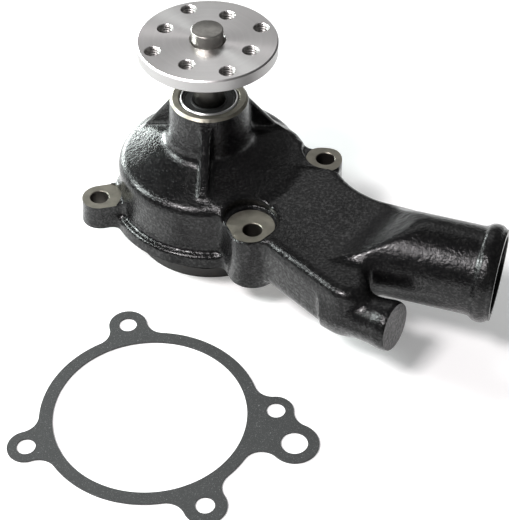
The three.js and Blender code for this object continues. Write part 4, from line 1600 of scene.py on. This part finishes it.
def make_impeller(context):
    block = Block(IMPELLER_LOW, IMPELLER_HIGH, IMPELLER_PITCH)
    piece = block.skin("impeller_casting", smooth_min(impeller_disc(block), impeller_vanes(block), 3))
    thin_out(piece, IMPELLER_SHARE)
    cut(piece, *impeller_cutters())
    finish_piece(piece, "rotor", ["impeller"], [raw_iron(context)], 35)


GASKET_THICKNESS = 0.8
GASKET_RING_R = 53.0
GASKET_BORE_R = 46.5
GASKET_HOLE_R = 4.5
GASKET_PLACE = (17.7, -137.1)
GASKET_TURN = math.radians(6)


def make_gasket(context):
    piece = prism("gasket_sheet", mounting_outline(GASKET_RING_R, "gasket_lobe", 9), 0, GASKET_THICKNESS)
    cutters = [drill(0, 0, GASKET_BORE_R, -1, 2, 180)]
    for hole in EARS.values():
        cutters.append(drill(*hole_centre(hole), GASKET_HOLE_R, -1, 2, 48))
    cutters.append(drill(*bypass_centre(), BYPASS["hole"], -1, 2, 56))
    cut(piece, *cutters)
    bevel(piece, 0.12, 60)
    floor_level = -ORIGIN.z / MM
    place(piece, Matrix.Rotation(GASKET_TURN, 4, "Z"), (*GASKET_PLACE, floor_level))
    finish_piece(piece, "gasket", ["gasket"], [gasket_sheet(context)])


# ---------------------------------------------------------------------------------------------------
# Studio
# ---------------------------------------------------------------------------------------------------

# The middle of the pump, which the lights aim at, and their tints
LIT_POINT = Vector((0, 0.04, 0.05))
WHITE, COOL, WARM = (1, 1, 1), (0.93, 1.0, 0.98), (1.0, 0.96, 0.97)
WORLD_STRENGTH = 0.14
FLOOR_SIZE = 6
FLOOR_DROP = 0.0002  # keeps the floor from touching the underside of the pump
FLOOR_GLOW = 0.3
LENS = 93.67
CAMERA_FROM_HUB = (0.19845, -0.51743, 0.37805)
CAMERA_PITCH, CAMERA_YAW = degrees_of(46.41, 18.6)


def soft_light(name, spot, width, height, power, colour):
    """A rectangular soft box, in metres and watts."""
    light = bpy.data.lights.new(name, "AREA")
    light.shape = "RECTANGLE"
    light.size, light.size_y = width, height
    light.energy = power
    light.color = colour
    lamp = bpy.data.objects.new(name, light)
    lamp.location = spot
    lamp.rotation_euler = (LIT_POINT - Vector(spot)).to_track_quat("-Z", "Y").to_euler()
    bpy.context.scene.collection.objects.link(lamp)


def studio_paper(context):
    """Matt white paper that glows slightly, so that it stays white where the lights miss it."""
    colours = context.scene.pump_colours
    paint = Paint("studio_floor")
    paper = paint.noise(0.15, detail=3)
    pale = paint.colour_mix(paper * 0.04, colours.floor, [0.95 * c for c in colours.floor])
    return paint.finish(base_color=pale, roughness=0.7, emission_color=pale, emission_strength=FLOOR_GLOW)


def make_floor(context):
    mesh = bmesh.new()
    bmesh.ops.create_grid(mesh, x_segments=8, y_segments=8, size=FLOOR_SIZE)
    data = bpy.data.meshes.new("studio_floor")
    mesh.to_mesh(data)
    mesh.free()
    floor = bpy.data.objects.new("studio_floor", data)
    floor.location.z = -FLOOR_DROP
    context.scene.collection.objects.link(floor)
    floor.data.materials.append(studio_paper(context))


def make_lights(context):
    world = bpy.data.worlds.new("studio")
    world.use_nodes = True
    background = world.node_tree.nodes["Background"]
    background.inputs["Color"].default_value = (1, 1, 1, 1)
    background.inputs["Strength"].default_value = WORLD_STRENGTH
    context.scene.world = world
    context.scene.view_settings.view_transform = "Standard"

    soft_light("left_box", (-0.95, -0.14, 0.62), 0.24, 0.36, 13, COOL)
    soft_light("front_box", (-0.32, -0.55, 1.0), 0.26, 0.26, 12, WARM)
    soft_light("back_box", (-0.4, 1.0, 1.0), 0.8, 0.5, 1.25, WHITE)
    soft_light("low_box", (-0.8, 0.55, 0.12), 0.5, 0.2, 8, COOL)


def make_camera(context):
    data = bpy.data.cameras.new("camera")
    data.sensor_width = 36
    data.lens = LENS
    data.clip_start = 0.01
    camera = bpy.data.objects.new("camera", data)
    hub_top = ORIGIN + Vector((0, 0, HUB_FACE)) * MM
    camera.location = hub_top + Vector(CAMERA_FROM_HUB)
    camera.rotation_euler = (CAMERA_PITCH, 0, CAMERA_YAW)
    context.scene.collection.objects.link(camera)
    context.scene.camera = camera


# ---------------------------------------------------------------------------------------------------
# Operators
# ---------------------------------------------------------------------------------------------------


class PUMP_OT_stage(bpy.types.Operator):
    """Pale floor, soft light and the camera"""

    bl_idname = "pump.stage"
    bl_label = "Studio"

    def execute(self, context):
        make_camera(context)
        make_floor(context)
        make_lights(context)
        return {"FINISHED"}


class PUMP_OT_housing(bpy.types.Operator):
    """Cast housing with its machined seats and bores"""

    bl_idname = "pump.housing"
    bl_label = "Housing"

    def execute(self, context):
        make_housing(context)
        return {"FINISHED"}


class PUMP_OT_hub(bpy.types.Operator):
    """Turned pulley hub with eight threaded holes"""

    bl_idname = "pump.hub"
    bl_label = "Pulley hub"

    def execute(self, context):
        make_hub(context)
        return {"FINISHED"}


class PUMP_OT_shaft(bpy.types.Operator):
    """Ground shaft with its ball groove"""

    bl_idname = "pump.shaft"
    bl_label = "Shaft"

    def execute(self, context):
        make_shaft(context)
        return {"FINISHED"}


class PUMP_OT_bearing(bpy.types.Operator):
    """Outer ring, seals, cages, balls and rollers of the shaft bearing"""

    bl_idname = "pump.bearing"
    bl_label = "Shaft bearing"

    def execute(self, context):
        steel, polymer, rubber = bearing_steel(), cage_polymer(), black_rubber()
        make_race(steel)
        make_bearing_seal("bearing_lip_front", "bearing_seal_front", rubber, True)
        make_bearing_seal("bearing_lip_rear", "bearing_seal_rear", rubber, False)
        make_balls(steel, polymer)
        make_rollers(steel, polymer)
        return {"FINISHED"}


class PUMP_OT_seal(bpy.types.Operator):
    """Slinger and the pieces of the face seal"""

    bl_idname = "pump.seal"
    bl_label = "Face seal"

    def execute(self, context):
        plated = plated_steel()
        rubber = bpy.data.materials["black_rubber"]  # the frame's own plain rubber, out of sight in here
        make_slinger(plated)
        make_seal_case()
        make_seal_bellows(rubber)
        make_seal_spring(plated)
        make_seal_rings(rubber)
        return {"FINISHED"}


class PUMP_OT_impeller(bpy.types.Operator):
    """Cast impeller with six swept vanes"""

    bl_idname = "pump.impeller"
    bl_label = "Impeller"

    def execute(self, context):
        make_impeller(context)
        return {"FINISHED"}


class PUMP_OT_gasket(bpy.types.Operator):
    """Loose mounting gasket beside the pump"""

    bl_idname = "pump.gasket"
    bl_label = "Gasket"

    def execute(self, context):
        make_gasket(context)
        return {"FINISHED"}


OPERATORS = (
    PUMP_OT_stage,
    PUMP_OT_housing,
    PUMP_OT_hub,
    PUMP_OT_shaft,
    PUMP_OT_bearing,
    PUMP_OT_seal,
    PUMP_OT_impeller,
    PUMP_OT_gasket,
)


class PUMP_PT_sidebar(bpy.types.Panel):
    """Sizes, colours and the button for each piece"""

    bl_idname = "PUMP_PT_sidebar"
    bl_label = "Water Pump"
    bl_space_type = "VIEW_3D"
    bl_region_type = "UI"
    bl_category = "Water Pump"

    def draw(self, context):
        for group in (context.scene.pump_sizes, context.scene.pump_colours):
            box = self.layout.box()
            for name in group.bl_rna.properties.keys():
                if name not in {"rna_type", "name"}:
                    box.prop(group, name)
        for operator in OPERATORS:
            self.layout.operator(operator.bl_idname)


CLASSES = (PumpSizes, PumpColours, *OPERATORS, PUMP_PT_sidebar)


def register():
    for cls in CLASSES:
        bpy.utils.register_class(cls)
    bpy.types.Scene.pump_sizes = bpy.props.PointerProperty(type=PumpSizes)
    bpy.types.Scene.pump_colours = bpy.props.PointerProperty(type=PumpColours)


def unregister():
    del bpy.types.Scene.pump_colours
    del bpy.types.Scene.pump_sizes
    for cls in reversed(CLASSES):
        bpy.utils.unregister_class(cls)


def main():
    register()
    bpy.ops.pump.stage()
    bpy.ops.pump.housing()
    bpy.ops.pump.hub()
    bpy.ops.pump.shaft()
    bpy.ops.pump.bearing()
    bpy.ops.pump.seal()
    bpy.ops.pump.impeller()
    bpy.ops.pump.gasket()


if __name__ == "__main__":
    main()
